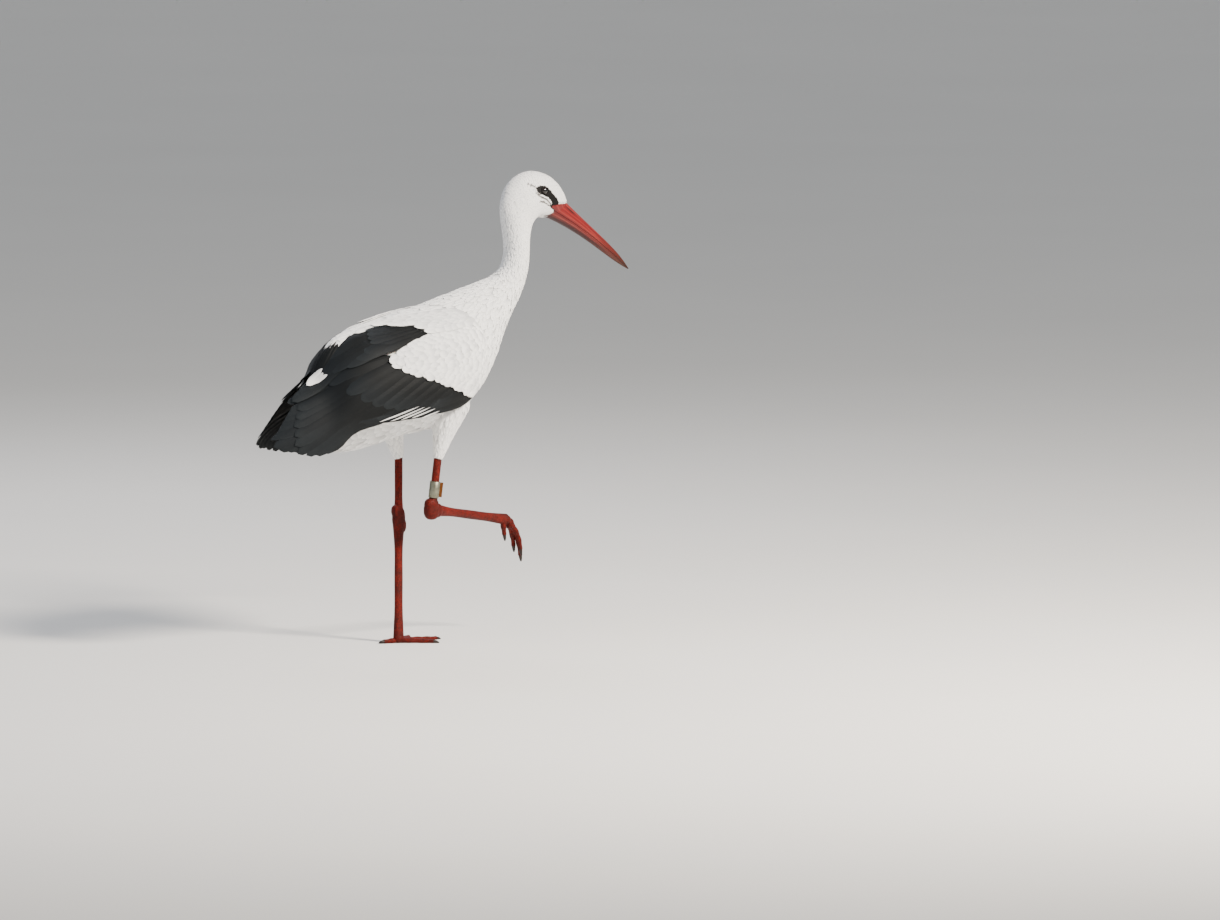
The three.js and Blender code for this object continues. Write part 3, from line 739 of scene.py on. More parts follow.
@dataclass(frozen=True)
class HornFinish(Finish):
    """Keratin horn grown in lengthwise fibres: smooth, a little glossy, with a painted highlight along its
    ridge and darker towards its keel, partly painted shade.
    """

    base: str
    middle: str
    tip: str
    # ridge: a painted highlight along the top; keel: darker towards the keel, partly the horn's own colour
    # and partly painted shade.
    ridge: str
    keel: str
    # Painted shade in the nostril and along the mouth line, and the face's dark skin at the root.
    groove: str
    roughness: float
    specular: float

    def surface(self, add: Adder) -> dict:
        """Draw the horn by "hollow", which paints shade into the nostril and along the mouth line and carries
        the face's dark skin, and by the map "growth".

        The map's V runs from root to tip, and U is 0 along the ridge and 1 along the keel.

        Args:
            add: adds a node to the material.

        Returns:
            The surface's inputs.
        """
        growth = add("UVMap", uv_map="growth")
        around, along, _ = add("SeparateXYZ", (growth,)).outputs
        hollow = add("Attribute", attribute_name="hollow").outputs["Fac"]
        # Fibres about 1 mm apart run the whole length of the horn, with broader bands of tone.
        fine = add("Mapping", {"Vector": growth, "Scale": (46.0, 3.0, 1.0)})
        fibre = add("TexNoise", {"Vector": fine, "Scale": 1.0, "Detail": 4.0})
        broad = add("Mapping", {"Vector": growth, "Scale": (11.0, 1.6, 1.0)})
        band = add("TexNoise", {"Vector": broad, "Scale": 1.0, "Detail": 2.0})
        first = add("MapRange", (along, 0.0, 0.3))
        # Darker towards the keel, partly the horn's own colour and partly painted shade; a painted highlight
        # along the ridge.
        below = add("MapRange", (around, 0.55, 0.9, 0.0, 0.9))
        above = add("MapRange", (around, 0.02, 0.1, 0.6, 0.0))
        vein = add("MapRange", (fibre, 0.4, 0.66, 0.0, 0.75))
        streak = add("MapRange", (band, 0.48, 0.66, 0.0, 0.35))
        last = add("MapRange", (along, 0.45, 0.94, 0.0, 0.92))
        colour = layered(add, self.base, ((first, self.middle), (below, self.keel), (above, self.ridge),
                                          (vein, self.keel), (streak, self.ridge), (last, self.tip),
                                          (hollow, self.groove)))
        return {
            "Base Color": colour,
            "Roughness": self.roughness,
            "Normal": add("Bump", {"Height": fibre, "Strength": 0.25, "Distance": 0.0004}),
            "IOR": KERATIN_IOR,
            "Specular IOR Level": self.specular,
        }


@dataclass(frozen=True)
class ScaleFinish(Finish):
    """Bare skin covered in small horny scales, with darker skin in the seams between them."""

    bright: str
    deep: str
    seam: str
    scale_size: float  # millimetres across one scale
    roughness: float

    def surface(self, add: Adder) -> dict:
        """Draw the scales, darker where "joint" says.

        Args:
            add: adds a node to the material.

        Returns:
            The surface's inputs.
        """
        place = add("TexCoord").outputs["Object"]
        joint = add("Attribute", attribute_name="joint").outputs["Fac"]
        cell = {"Vector": place, "Scale": 1 / (self.scale_size * MM)}
        cells = add("TexVoronoi", cell, feature="DISTANCE_TO_EDGE")
        plate = add("MapRange", (cells, 0.0, 0.16))
        each = add("TexVoronoi", cell).outputs["Color"]
        own, _, _ = add("SeparateColor", (each,)).outputs
        blotch = add("TexNoise", {"Vector": place, "Scale": 45.0, "Detail": 4.0})
        uneven = add("Math", (own, 0.35, blotch), operation="MULTIPLY_ADD")
        level = add("MapRange", (uneven, 0.35, 0.95))
        seams = add("MapRange", {0: plate, 3: 0.7, 4: 0.0})
        colour = layered(add, self.deep, ((level, self.bright), (joint, self.deep), (seams, self.seam)))
        return {
            "Base Color": colour,
            "Roughness": self.roughness,
            "Normal": add("Bump", {"Height": plate, "Strength": 0.6, "Distance": 0.0005}),
            "IOR": 1.5,
            "Specular IOR Level": 0.15,
        }


@dataclass(frozen=True)
class SkinFinish(Finish):
    """Thin living skin, finely wrinkled, with a little light passing through it."""

    bright: str
    deep: str
    wrinkle: float  # millimetres between wrinkles
    roughness: float
    specular: float
    glow: float

    def surface(self, add: Adder) -> dict:
        """Draw the wrinkled skin.

        Args:
            add: adds a node to the material.

        Returns:
            The surface's inputs.
        """
        place = add("TexCoord").outputs["Object"]
        size = 1 / (self.wrinkle * MM)
        fold = add("TexNoise", {"Vector": place, "Scale": size, "Detail": 4.0, "Distortion": 0.6})
        level = add("MapRange", (fold, 0.3, 0.7))
        return {
            "Base Color": layered(add, self.deep, ((level, self.bright),)),
            "Roughness": self.roughness,
            "Normal": add("Bump", {"Height": fold, "Strength": 0.5, "Distance": 0.0004}),
            "Specular IOR Level": self.specular,
            "Subsurface Weight": self.glow,
            "Subsurface Radius": (0.004, 0.0015, 0.001),
            "Subsurface Scale": 1.0,
        }


@dataclass(frozen=True)
class EyeFinish(Finish):
    """Wet cornea over a dark brown iris and a black pupil."""

    iris: str
    outer: str
    pupil: str

    def surface(self, add: Adder) -> dict:
        """Draw the iris by the map "growth", whose V runs from the pupil's middle outwards.

        Args:
            add: adds a node to the material.

        Returns:
            The surface's inputs.
        """
        growth = add("UVMap", uv_map="growth")
        _, away, _ = add("SeparateXYZ", (growth,)).outputs
        rays = add("Mapping", {"Vector": growth, "Scale": (40.0, 2.0, 1.0)})
        fibre = add("TexNoise", {"Vector": rays, "Scale": 1.0, "Detail": 3.0})
        black = add("MapRange", (away, 0.15, 0.17, 1.0, 0.0))
        white = add("MapRange", (away, 0.3, 0.34))
        colour = layered(add, self.outer, ((fibre, self.iris), (white, self.outer), (black, self.pupil)))
        return {
            "Base Color": colour,
            "Roughness": 0.12,
            "Coat Weight": 1.0,
            "Coat Roughness": 0.02,
            "Coat IOR": CORNEA_IOR,
            "IOR": CORNEA_IOR,
        }


@dataclass(frozen=True)
class RingFinish(Finish):
    """Rolled aluminium, dulled by years of mud and water, with fine scratches round it."""

    metal: str
    stain: str

    def surface(self, add: Adder) -> dict:
        """Draw the stained and scratched metal.

        Args:
            add: adds a node to the material.

        Returns:
            The surface's inputs.
        """
        place = add("TexCoord").outputs["Object"]
        blotch = add("TexNoise", {"Vector": place, "Scale": 160.0, "Detail": 5.0})
        flat = add("Mapping", {"Vector": place, "Scale": (150.0, 150.0, 2500.0)})
        scratch = add("TexNoise", {"Vector": flat, "Scale": 1.0, "Detail": 2.0})
        dull = add("MapRange", (blotch, 0.45, 0.75, 0.0, 0.8))
        return {
            "Base Color": layered(add, self.metal, ((dull, self.stain),)),
            "Metallic": 0.85,
            "Roughness": add("MapRange", {0: scratch, 3: 0.3, 4: 0.6}),
            "Normal": add("Bump", {"Height": scratch, "Strength": 0.3, "Distance": 0.0001}),
        }


@dataclass(frozen=True)
class FloorFinish(Finish):
    """Matt wall paint, a little uneven where it was rolled on."""

    shade: str
    bright: str

    def surface(self, add: Adder) -> dict:
        """Draw the paint.

        Args:
            add: adds a node to the material.

        Returns:
            The surface's inputs.
        """
        place = add("TexCoord").outputs["Object"]
        cloud = add("TexNoise", {"Vector": place, "Scale": 1.5, "Detail": 2.0})
        return {"Base Color": layered(add, self.shade, ((cloud, self.bright),)), "Roughness": 0.9}


@dataclass(frozen=True)
class Palette:
    """Every finish of the bird."""

    # Plumage colours: bright, shade, edge, root and crease; the root colour is painted shade where the vanes
    # overlap, and the crease colour painted shade in creases and under the body.
    white: PlumageFinish = PlumageFinish(
        "White contour feathers", "fbfaf7", "eeeeec", "fdfdfb", "b8b9ba", "4a4643", 0.2, 0.8, 0.3, 14, 0.0003)
    black: PlumageFinish = PlumageFinish(
        "Black flight feathers", "1b1f22", "101316", "212527", "090b0c", "010101", 0.0, 0.6, 0.12, 26, 0.0003)
    # Horn colours: base, middle, tip, ridge, keel and groove; the ridge colour is a painted highlight, the
    # keel colour partly painted shade, and the groove colour painted shade in nostril and mouth line besides
    # the face's dark skin.
    bill: HornFinish = HornFinish(
        "Red bill horn", "70080b", "6e0a09", "261204", "a3463c", "230204", "0e0102", 0.42, 0.3)
    claw: HornFinish = HornFinish(
        "Dark claw horn", "2a1c15", "201510", "120b08", "35271e", "120b07", "0c0705", 0.5, 0.3)
    leg: ScaleFinish = ScaleFinish("Red leg scales", "701001", "3a0902", "180301", 2.6, 0.5)
    face: SkinFinish = SkinFinish("Bare black face skin", "0f0d0d", "050404", 0.9, 0.6, 0.15, 0.0)
    down: SkinFinish = SkinFinish("Skin under the plumage", "f3efe9", "e2ddd6", 3.0, 0.8, 0.3, 0.1)
    eye: EyeFinish = EyeFinish("Wet dark eye", "1a0f0a", "0a0604", "010101")
    ring: RingFinish = RingFinish("Dull rolled aluminium", "7e7e6e", "57533d")
    flange: RingFinish = RingFinish("Stained ring flange", "5e3510", "3a200a")

    def materials(self) -> Finishes:
        """Return each finish's material by the finish's name."""
        return {name: getattr(self, name).material() for name in self.__dataclass_fields__}


# --- vanes
@dataclass(frozen=True)
class VaneShape:
    """Template of a feather's vane: a thin closed lens from its root at 0 to its tip at 1."""

    name: str
    rows: int
    columns: int
    widest: float  # share of the length where it is widest
    blunt: float  # 1 for a pointed tip, 2 for a round one, more for a square one
    camber: float  # height of its middle over its edges, in widths
    thick: float  # in widths
    ragged: float = 0.0  # depth of the notches in its edge, in widths

    def half_width(self, along: Array) -> Array:
        """Return half the vane's width at shares of its length."""
        before = np.sin(np.clip(along / self.widest, 0, 1) * math.pi / 2) ** 0.7
        after = np.clip((along - self.widest) / (1 - self.widest), 0, 1)
        return 0.5 * np.where(along < self.widest, before, (1 - after ** self.blunt) ** (1 / self.blunt))

    def template(self) -> Object:
        """Make the vane as a closed mesh that knows its own coordinates.

        Returns:
            The object, with the attribute "local" and the map "vane".
        """
        along = 1 - (1 - np.linspace(0, 1, self.rows + 1)) ** 1.3
        share = np.linspace(-1, 1, self.columns + 1)
        x, c = np.meshgrid(along[1:-1], share, indexing="ij")
        notch = np.random.default_rng(len(self.name)).random(x.shape) * self.ragged * (np.abs(c) > 0.99)
        y = c * self.half_width(x) * (1 - notch)
        arch = self.camber * (1 - c ** 2) * np.sin(math.pi * x) ** 0.5
        lens = self.thick / 2 * (1 - c ** 2)
        top = columns(x, y, arch + lens)
        under = columns(x, y, arch - lens)[:, 1:-1]
        points = np.vstack([top.reshape(-1, 3), under.reshape(-1, 3), [[0, 0, 0], [1, 0, 0]]])
        count, wide = x.shape
        upper = np.arange(count * wide).reshape(count, wide)
        lower = upper.copy()
        lower[:, 1:-1] = count * wide + np.arange(count * (wide - 2)).reshape(count, wide - 2)
        root, tip = len(points) - 2, len(points) - 1
        faces = []
        for sheet, turned in ((upper, 1), (lower, -1)):
            for k in range(wide - 1):
                faces.append([root, sheet[0, k + 1], sheet[0, k]][::turned])
                faces.append([tip, sheet[-1, k], sheet[-1, k + 1]][::turned])
                for r in range(count - 1):
                    near, far = sheet[r], sheet[r + 1]
                    faces.append([near[k], near[k + 1], far[k + 1], far[k]][::turned])
        made = new_object(f"template_{self.name}", points, faces)
        face_outwards(made)
        rim = set(upper[:, 0].tolist()) | set(upper[:, -1].tolist()) | {root, tip}
        sharp = made.data.attributes.new("sharp_edge", "BOOLEAN", "EDGE")
        for edge in made.data.edges:
            sharp.data[edge.index].value = set(edge.vertices) <= rim
        add_attribute(made.data, "local", points)
        half = np.maximum(self.half_width(points[:, 0]), 1e-6)
        across = np.where(half > 1e-5, np.clip(points[:, 1] / half, -1, 1), 0)
        add_map(made.data, "vane", columns(0.5 + 0.5 * across, points[:, 0]))
        return made


class Vane(Enum):
    """The kinds of feather."""

    DOWN = VaneShape("down", 4, 2, 0.5, 1.6, 0.1, 0.1)
    PLUME = VaneShape("plume", 7, 4, 0.5, 1.5, 0.1, 0.04)
    CONTOUR = VaneShape("contour", 8, 6, 0.6, 2.0, 0.12, 0.025)
    FLIGHT = VaneShape("flight", 16, 6, 0.6, 2.6, 0.06, 0.025, 0.06)


@dataclass
class Roots:
    """Where feathers grow and how each one lies, with one row for each feather, in metres."""

    root: Array
    along: Array
    across: Array
    size: Array  # length, width and sideways bow
    lay: Array  # height of its root, of its tip and of one edge over the other
    patch: Array  # its place on the bake map
    tone: Array

    @classmethod
    def joined(cls, parts: list["Roots"]) -> "Roots":
        """Return several sets as one."""
        keys = cls.__dataclass_fields__
        return cls(*(np.concatenate([getattr(part, key) for part in parts]) for key in keys))

    @classmethod
    def spanning(cls, ends: tuple[Array, Array], facing: Array, shape: tuple, lay: tuple, patch: Array,
                 tone: Array) -> "Roots":
        """Lay straight feathers between two ends.

        Args:
            ends: their roots and their tips.
            facing: what their upper side faces.
            shape: their widths and bows, in metres.
            lay: their three heights, in millimetres.
            patch: their places on the bake map.
            tone: their tones.

        Returns:
            The feathers.
        """
        root, tip = ends
        along = unit(tip - root)
        size = columns(np.linalg.norm(tip - root, axis=1), *shape)
        return cls(root, along, unit(np.cross(facing, along)), size, columns(*lay) * MM, patch, tone)

    def chosen(self, which: Array) -> "Roots":
        """Return the feathers that a mask or a list of numbers picks."""
        return Roots(*(getattr(self, key)[which] for key in self.__dataclass_fields__))


class VaneGrower:
    """Puts a vane on each root and bends it over a form, with one Geometry Nodes tree."""

    # what the tree reads from roots, template and form, and the pieces don't keep
    helpers = ("local", "root", "along", "across", "size", "lay", "patch", "outward")
    most = 190_000  # triangles in one piece

    def __init__(self) -> None:
        """Build the tree with its named inputs."""
        self.tree = bpy.data.node_groups.new("Grow vanes over a form", "GeometryNodeTree")
        self.inputs = {}
        for name, kind in (("Roots", "Geometry"), ("Form", "Object"), ("Vane", "Object"),
                           ("Finish", "Material"), ("Patch size", "Float"), ("Overhang", "Float")):
            socket = self.tree.interface.new_socket(name, in_out="INPUT", socket_type=f"NodeSocket{kind}")
            self.inputs[name] = socket.identifier
        self.tree.interface.new_socket("Vanes", in_out="OUTPUT", socket_type="NodeSocketGeometry")
        self._fill()

    def _fill(self) -> None:
        """Add the tree's nodes."""
        add = partial(add_node, self.tree)
        given = add("NodeGroupInput").outputs
        form = add("GeometryNodeObjectInfo", {"Object": given["Form"]}).outputs["Geometry"]
        vane = add("GeometryNodeObjectInfo", {"Object": given["Vane"]}).outputs["Geometry"]
        placed = add("GeometryNodeInstanceOnPoints", {"Points": given["Roots"], "Instance": vane})
        spread = add("GeometryNodeRealizeInstances", {"Geometry": placed})
        local, root, along, across, size, lay, patch, outward = (
            add("GeometryNodeInputNamedAttribute", {"Name": name}, data_type="FLOAT_VECTOR")
            for name in self.helpers)
        (x, y, z), (length, width, bow), (low, high, roll) = (
            add("SeparateXYZ", (vector,)).outputs for vector in (local, size, lay))
        # Each vane is first laid out straight and flat.
        square = add("Math", (x, x), operation="MULTIPLY")
        bent = add("Math", (square, bow), operation="MULTIPLY")
        off = add("Math", (y, width, bent), operation="MULTIPLY_ADD")
        reach = add("Math", (x, length), operation="MULTIPLY")
        run = add("VectorMath", {0: along, 3: reach}, operation="SCALE")
        aside = add("VectorMath", {0: across, 3: off}, operation="SCALE")
        ahead = add("VectorMath", (root, run), operation="ADD")
        straight = add("VectorMath", (ahead, aside), operation="ADD")
        # Then it is pressed onto the form, to the height that its lay gives it.
        near, facing = (
            add("GeometryNodeSampleNearestSurface",
                {"Mesh": form, "Value": value, "Sample Position": straight}, data_type="FLOAT_VECTOR")
            for value in (add("GeometryNodeInputPosition"), outward))
        normal = add("VectorMath", (facing,), operation="NORMALIZE")
        gap = add("VectorMath", (straight, near), operation="SUBTRACT")
        over = add("VectorMath", (gap, normal), operation="DOT_PRODUCT").outputs["Value"]
        climb = add("Math", (high, low), operation="SUBTRACT")
        rise = add("Math", (climb, x, low), operation="MULTIPLY_ADD")
        rolled = add("Math", (roll, y, rise), operation="MULTIPLY_ADD")
        body = add("Math", (z, width), operation="MULTIPLY")
        lifted = add("Math", (rolled, body), operation="ADD")
        press = add("Math", (lifted, over), operation="SUBTRACT")
        laid = add("VectorMath", {0: normal, 3: press}, operation="SCALE")
        upright = add("VectorMath", {0: normal, 3: over}, operation="SCALE")
        level = add("VectorMath", (gap, upright), operation="SUBTRACT")
        share = add("Math", (1.0, given["Overhang"]), operation="SUBTRACT")
        held = add("VectorMath", {0: level, 3: share}, operation="SCALE")
        pressed = add("VectorMath", (straight, laid), operation="ADD")
        final = add("VectorMath", (pressed, held), operation="SUBTRACT")
        shaped = add("GeometryNodeSetPosition", {"Geometry": spread, "Position": final})
        middle = add("Math", (x, 0.5), operation="SUBTRACT")
        centred = add("CombineXYZ", (middle, y))
        part = add("VectorMath", {0: centred, 3: given["Patch size"]}, operation="SCALE")
        spot = add("VectorMath", (patch, part), operation="ADD")
        mapped = add("GeometryNodeStoreNamedAttribute", {"Geometry": shaped, "Name": "OFBake", "Value": spot},
                     data_type="FLOAT2", domain="CORNER")
        dressed = add("GeometryNodeSetMaterial", {"Geometry": mapped, "Material": given["Finish"]})
        add("NodeGroupOutput", (dressed,))

    def grow(self, name: str, roots: Roots, form: Object, vane: Vane, finish: Material) -> list[Object]:
        """Grow vanes on a form.

        Args:
            name: the pieces' name.
            roots: the feathers.
            form: the mesh that they lie on.
            vane: what kind of feather they are.
            finish: their material.

        Returns:
            The pieces as plain meshes, each under the most triangles that one may have.
        """
        shape = vane.value
        template = shape.template()
        count = math.ceil(len(roots.tone) * 4 * shape.columns * (shape.rows - 1) / self.most)
        made = []
        for k, rows in enumerate(np.array_split(np.arange(len(roots.tone)), count)):
            label = f"{name}_{k + 1}" if count > 1 else name
            host = new_object("roots", roots.root[rows], [])
            for key in roots.__dataclass_fields__:
                add_attribute(host.data, key, getattr(roots, key)[rows])
            growth = host.modifiers.new("Grow vanes", "NODES")
            growth.node_group = self.tree
            for key, value in (("Form", form), ("Vane", template), ("Finish", finish), ("Patch size", PATCH),
                               ("Overhang", OVERHANG)):
                growth[self.inputs[key]] = value
            grown = evaluated(host)
            drop(host)
            grown.name = label
            for key in self.helpers:
                if key in grown.attributes:
                    grown.attributes.remove(grown.attributes[key])
            if finish.name not in grown.materials:
                grown.materials.append(finish)
            made.append(link(label, grown))
        drop(template)
        return made


def as_form(made: Object) -> Object:
    """Store a mesh's outward directions on it, for feathers to lie along, and return it."""
    mesh = made.data
    normals = np.empty(len(mesh.vertices) * 3, np.float32)
    mesh.vertex_normals.foreach_get("vector", normals)
    add_attribute(mesh, "outward", normals.reshape(-1, 3))
    return made


def surface_of(made: Object) -> BVHTree:
    """Return a mesh object's search tree."""
    faces = [list(face.vertices) for face in made.data.polygons]
    return BVHTree.FromPolygons([Vector(point) for point in read_points(made.data)], faces)


class Atlas(Enum):
    """Corner and size of each form's field on the bake map."""

    BODY = ((0.02, 0.02), (0.96, 0.58))
    WING_LEFT = ((0.02, 0.62), (0.46, 0.2))
    WING_RIGHT = ((0.52, 0.62), (0.46, 0.2))
    THIGH_LEFT = ((0.02, 0.84), (0.46, 0.14))
    THIGH_RIGHT = ((0.52, 0.84), (0.46, 0.14))

    def place(self, u: Array | float, v: Array) -> Array:
        """Return places of the map for shares of the field."""
        (left, low), (wide, high) = self.value
        return columns(left + wide * u, low + high * v, 0)


def scattered(count: int, centre: float, spread: float, seed: int) -> Array:
    """Return seeded random numbers around a centre."""
    return centre + spread * (np.random.default_rng(seed).random(count) - 0.5)


def combed(name: Atlas, shares: tuple[Array, Array], place: Array, basis: tuple, sizes: tuple,
           seed: int) -> Roots:
    """Lay feathers along a form, each turned and sized a little at random.

    Args:
        name: the form's field of the bake map.
        shares: the roots' places on that field.
        place: the roots, in metres.
        basis: unit vectors along, across and outwards.
        sizes: length, width, root height and tip height of each feather, in millimetres.
        seed: where the random numbers start.

    Returns:
        The feathers.
    """
    length, width, low, high = sizes
    count = len(length)
    along, across, _ = basis
    loose = np.clip(length / 40, 0.35, 1)
    turn = (loose * scattered(count, 0, 0.32, seed))[:, None]
    heading = along * np.cos(turn) + across * np.sin(turn)
    beside = across * np.cos(turn) - along * np.sin(turn)
    grown = length * scattered(count, 1, 0.3, seed + 1)
    bow = grown * scattered(count, 0, 0.16, seed + 2)
    roll = width * loose * scattered(count, 0, 0.16, seed + 3)
    rise = high + scattered(count, 0, 0.9, seed + 4) * loose ** 2
    return Roots(
        root=place,
        along=heading,
        across=beside,
        size=columns(grown, width * scattered(count, 1, 0.2, seed + 5), bow) * MM,
        lay=columns(low, rise, roll) * MM,
        patch=name.place(*shares),
        tone=scattered(count, 0.45, 0.5, seed + 6),
    )


# --- the face's bare skin
def inside_by(outline: tuple, flat: Array) -> Array:
    """Find how far places lie inside a closed outline.

    Args:
        outline: the outline's corners.
        flat: places, in the outline's units.

    Returns:
        The distance from its edge; negative outside.
    """
    start = np.array(outline, float)
    end = np.roll(start, -1, axis=0)
    edge = end - start
    to_place = flat[..., None, :] - start
    share = np.clip(np.sum(to_place * edge, axis=-1) / np.sum(edge * edge, axis=-1), 0, 1)
    away = np.linalg.norm(to_place - share[..., None] * edge, axis=-1).min(axis=-1)
    z = flat[..., None, 1]
    crossing = (start[:, 1] > z) != (end[:, 1] > z)
    rise = np.where(edge[:, 1] == 0, 1e-9, edge[:, 1])
    at = start[:, 0] + (z - start[:, 1]) / rise * edge[:, 0]
    odd = np.sum(crossing & (flat[..., None, 0] < at), axis=-1) % 2 == 1
    return np.where(odd, away, -away)


@dataclass(frozen=True)
class BareFace:
    """Where the face is bare, in the side view: dark skin round the eye, and the bill's sheath."""

    frame: BirdFrame
    lid: Pair = (7.4, 5.4)  # half sizes of the opening between the lids
    lid_tilt: float = math.radians(-34)
    lid_radius: float = 0.85
    patch: tuple[Pair, ...] = (
        (261.8, 743.2), (268.4, 745.4), (274.8, 746.4), (281.6, 744.6), (288.9, 739.2), (294.8, 733.6),
        (301.4, 728.0), (307.4, 722.8), (313.0, 716.4), (310.6, 710.5), (297.0, 710.5), (295.0, 716.8),
        (288.4, 722.8), (281.0, 727.0), (272.2, 731.0), (264.6, 736.4),
    )
    sheath: tuple[Pair, ...] = (
        (352.0, 712.5), (326.0, 711.6), (315.6, 711.9), (308.0, 711.2), (297.7, 711.2), (288.0, 713.2),
        (284.0, 714.6), (290.0, 708.8), (298.7, 704.2), (305.5, 698.4), (297.0, 695.0), (289.5, 693.4),
        (298.0, 684.0), (352.0, 700.0),
    )
    # lines of the creases between the face's feather tufts, where painted shade is laid
    creases: tuple[tuple[Pair, ...], ...] = (
        ((249.7, 750.3), (257.9, 746.5), (265.0, 742.2)),
        ((262.0, 735.0), (272.2, 726.4), (280.3, 723.6), (286.4, 719.2), (292.0, 713.8)),
        ((270.0, 719.5), (278.3, 717.7), (285.0, 713.4)),
    )

    def depth_inside(self, points: Array) -> Array:
        """Return how many millimetres points lie inside what is bare; negative outside."""
        flat = self.frame.millimetres(points)[..., [0, 2]]
        return np.maximum(inside_by(self.patch, flat), inside_by(self.sheath, flat))

    def dark(self, points: Array) -> Array:
        """Return how many millimetres points lie inside the dark skin; negative outside."""
        return inside_by(self.patch, self.frame.millimetres(points)[..., [0, 2]])

    def crease(self, points: Array, reach: float = 1.5) -> Array:
        """Return how much painted shade points take for lying near a crease between feather tufts, from 0 to
        1.
        """
        flat = self.frame.millimetres(points)[..., [0, 2]]
        spots = np.concatenate([along_line(line, np.linspace(0, 1, 40)) for line in self.creases])
        away = np.linalg.norm(flat[..., None, :] - spots, axis=-1).min(axis=-1)
        return np.exp(-(away / reach) ** 2)


# --- plumage of the body
@dataclass(frozen=True)
class BodyPlumage:
    """White feathers of the head, neck, trunk and tail, and the black ones over the rump."""

    form: BodyForm
    face: BareFace
    wings: list[BVHTree]  # the folded wings, which hide what is under them
    # place, length, width, row gap and neighbour gap as shares of them, skin depth
    growth: tuple[tuple[float, ...], ...] = (
        (0.0, 5.0, 2.8, 0.32, 0.42, 1.2),
        (3.0, 7.0, 3.2, 0.3, 0.42, 1.4),
        (5.0, 10.0, 3.8, 0.28, 0.42, 1.8),
        (7.0, 17.0, 4.6, 0.24, 0.42, 3.0),
        (10.0, 26.0, 6.0, 0.2, 0.4, 4.5),
        (12.0, 40.0, 8.0, 0.16, 0.4, 6.0),
        (14.0, 44.0, 11.0, 0.16, 0.42, 7.0),
        (16.0, 40.0, 16.0, 0.22, 0.45, 7.0),
        (21.0, 44.0, 18.0, 0.22, 0.45, 7.0),
        (24.0, 62.0, 20.0, 0.2, 0.5, 3.5),
        (27.0, 40.0, 18.0, 0.3, 0.5, 2.5),
    )
    zones: tuple[tuple[str, float, float, Vane], ...] = (
        ("coat_head", 0.12, 6.2, Vane.DOWN),
        ("coat_neck", 6.2, 15.2, Vane.PLUME),
        ("coat_trunk", 15.2, 26.2, Vane.CONTOUR),
    )
    back: Triple = (0.3, 0.0, 1.0)  # what the feathers of rump and tail face
    stripe: float = 7.0  # half width of what stays feathered along the middle of head and throat
    rump: Pair = (-150.0, 19.0)  # where the wings close over the rump, and how far apart they are there

    @property
    def table(self) -> Array:
        """The growth table as an array."""
        return np.array(self.growth)

    def grown(self, column: int, place: Array) -> Array:
        """Return one column of the growth table at places."""
        return np.interp(place, self.table[:, 0], self.table[:, column])

    def rows(self, start: float, end: float) -> tuple[Array, Array]:
        """Spread roots in rows round the form, each row's roots between those of the last.

        Args:
            start: place of the first row.
            end: place where the rows stop.

        Returns:
            Places and angles of the roots.
        """
        angles = np.linspace(0, 2 * math.pi, 257)
        rng = np.random.default_rng(41)
        places, turns = [], []
        place, odd = start, 0
        while place < end:
            ring = self.form.at(np.full_like(angles, place), angles) / MM
            reached = np.concatenate([[0], np.cumsum(np.linalg.norm(np.diff(ring, axis=0), axis=1))])
            width = self.grown(2, place) * self.grown(4, place)
            count = max(round(reached[-1] / width), 8)
            shares = (np.arange(count) + 0.5 * odd + rng.uniform(-0.22, 0.22, count)) / count % 1
            places.append(place + rng.uniform(-0.2, 0.2, count) * 0.1)
            turns.append(np.interp(shares * reached[-1], reached, angles))
            ahead = self.form.at(np.full_like(angles, min(place + 0.1, self.form.last)), angles) / MM
            pace = np.linalg.norm(ahead - ring, axis=1).mean() / 0.1
            place += self.grown(1, place) * self.grown(3, place) / max(pace, 4)
            odd = 1 - odd
        return np.clip(np.concatenate(places), 0.1, self.form.last), np.concatenate(turns)

    def hidden(self, points: Array, margin: float = 0.016) -> Array:
        """Find which roots lie well under a wing.

        Args:
            points: the roots.
            margin: how far under its edge, in metres.

        Returns:
            True for each hidden root.
        """
        around = [Vector((dx, 0, dz)) for dx in (-margin, margin, -margin / 2) for dz in (-margin, margin)]
        under = np.zeros(len(points), bool)
        for side, wing in zip(Side, self.wings):
            ray = Vector((0, side.value, 0))
            for k in np.flatnonzero((points[:, 1] * side.value > 0.01) & ~under):
                place = Vector(points[k])
                under[k] = all(wing.ray_cast(place + step, ray)[0] is not None for step in around)
        return under

    def roots(self, start: float, end: float, seed: int) -> Roots:
        """Lay the feathers of one stretch.

        Args:
            start: its first place.
            end: its last place.
            seed: where the random numbers start.

        Returns:
            The feathers.
        """
        place, angle = self.rows(start, end)
        points = self.form.at(place, angle)
        basis = self.form.basis(place, angle)
        depth = self.grown(5, place)
        length = self.grown(1, place)
        sizes = (length, self.grown(2, place), -0.75 * depth, 0.1 * depth - 0.1)
        laid = combed(Atlas.BODY, (place / self.form.last, angle / (2 * math.pi)), points, basis, sizes, seed)
        ends = points + basis[0] * (length * MM)[:, None]
        flat = self.form.frame.millimetres(points)
        sideways = np.abs(flat[:, 1]) > self.stripe
        bare = np.maximum(self.face.depth_inside(points), self.face.depth_inside(ends)) > 0
        # Feathers near the face's creases get a lower tone: painted shade in the creases.
        laid.tone -= 2.2 * self.face.crease((points + ends) / 2) * sideways
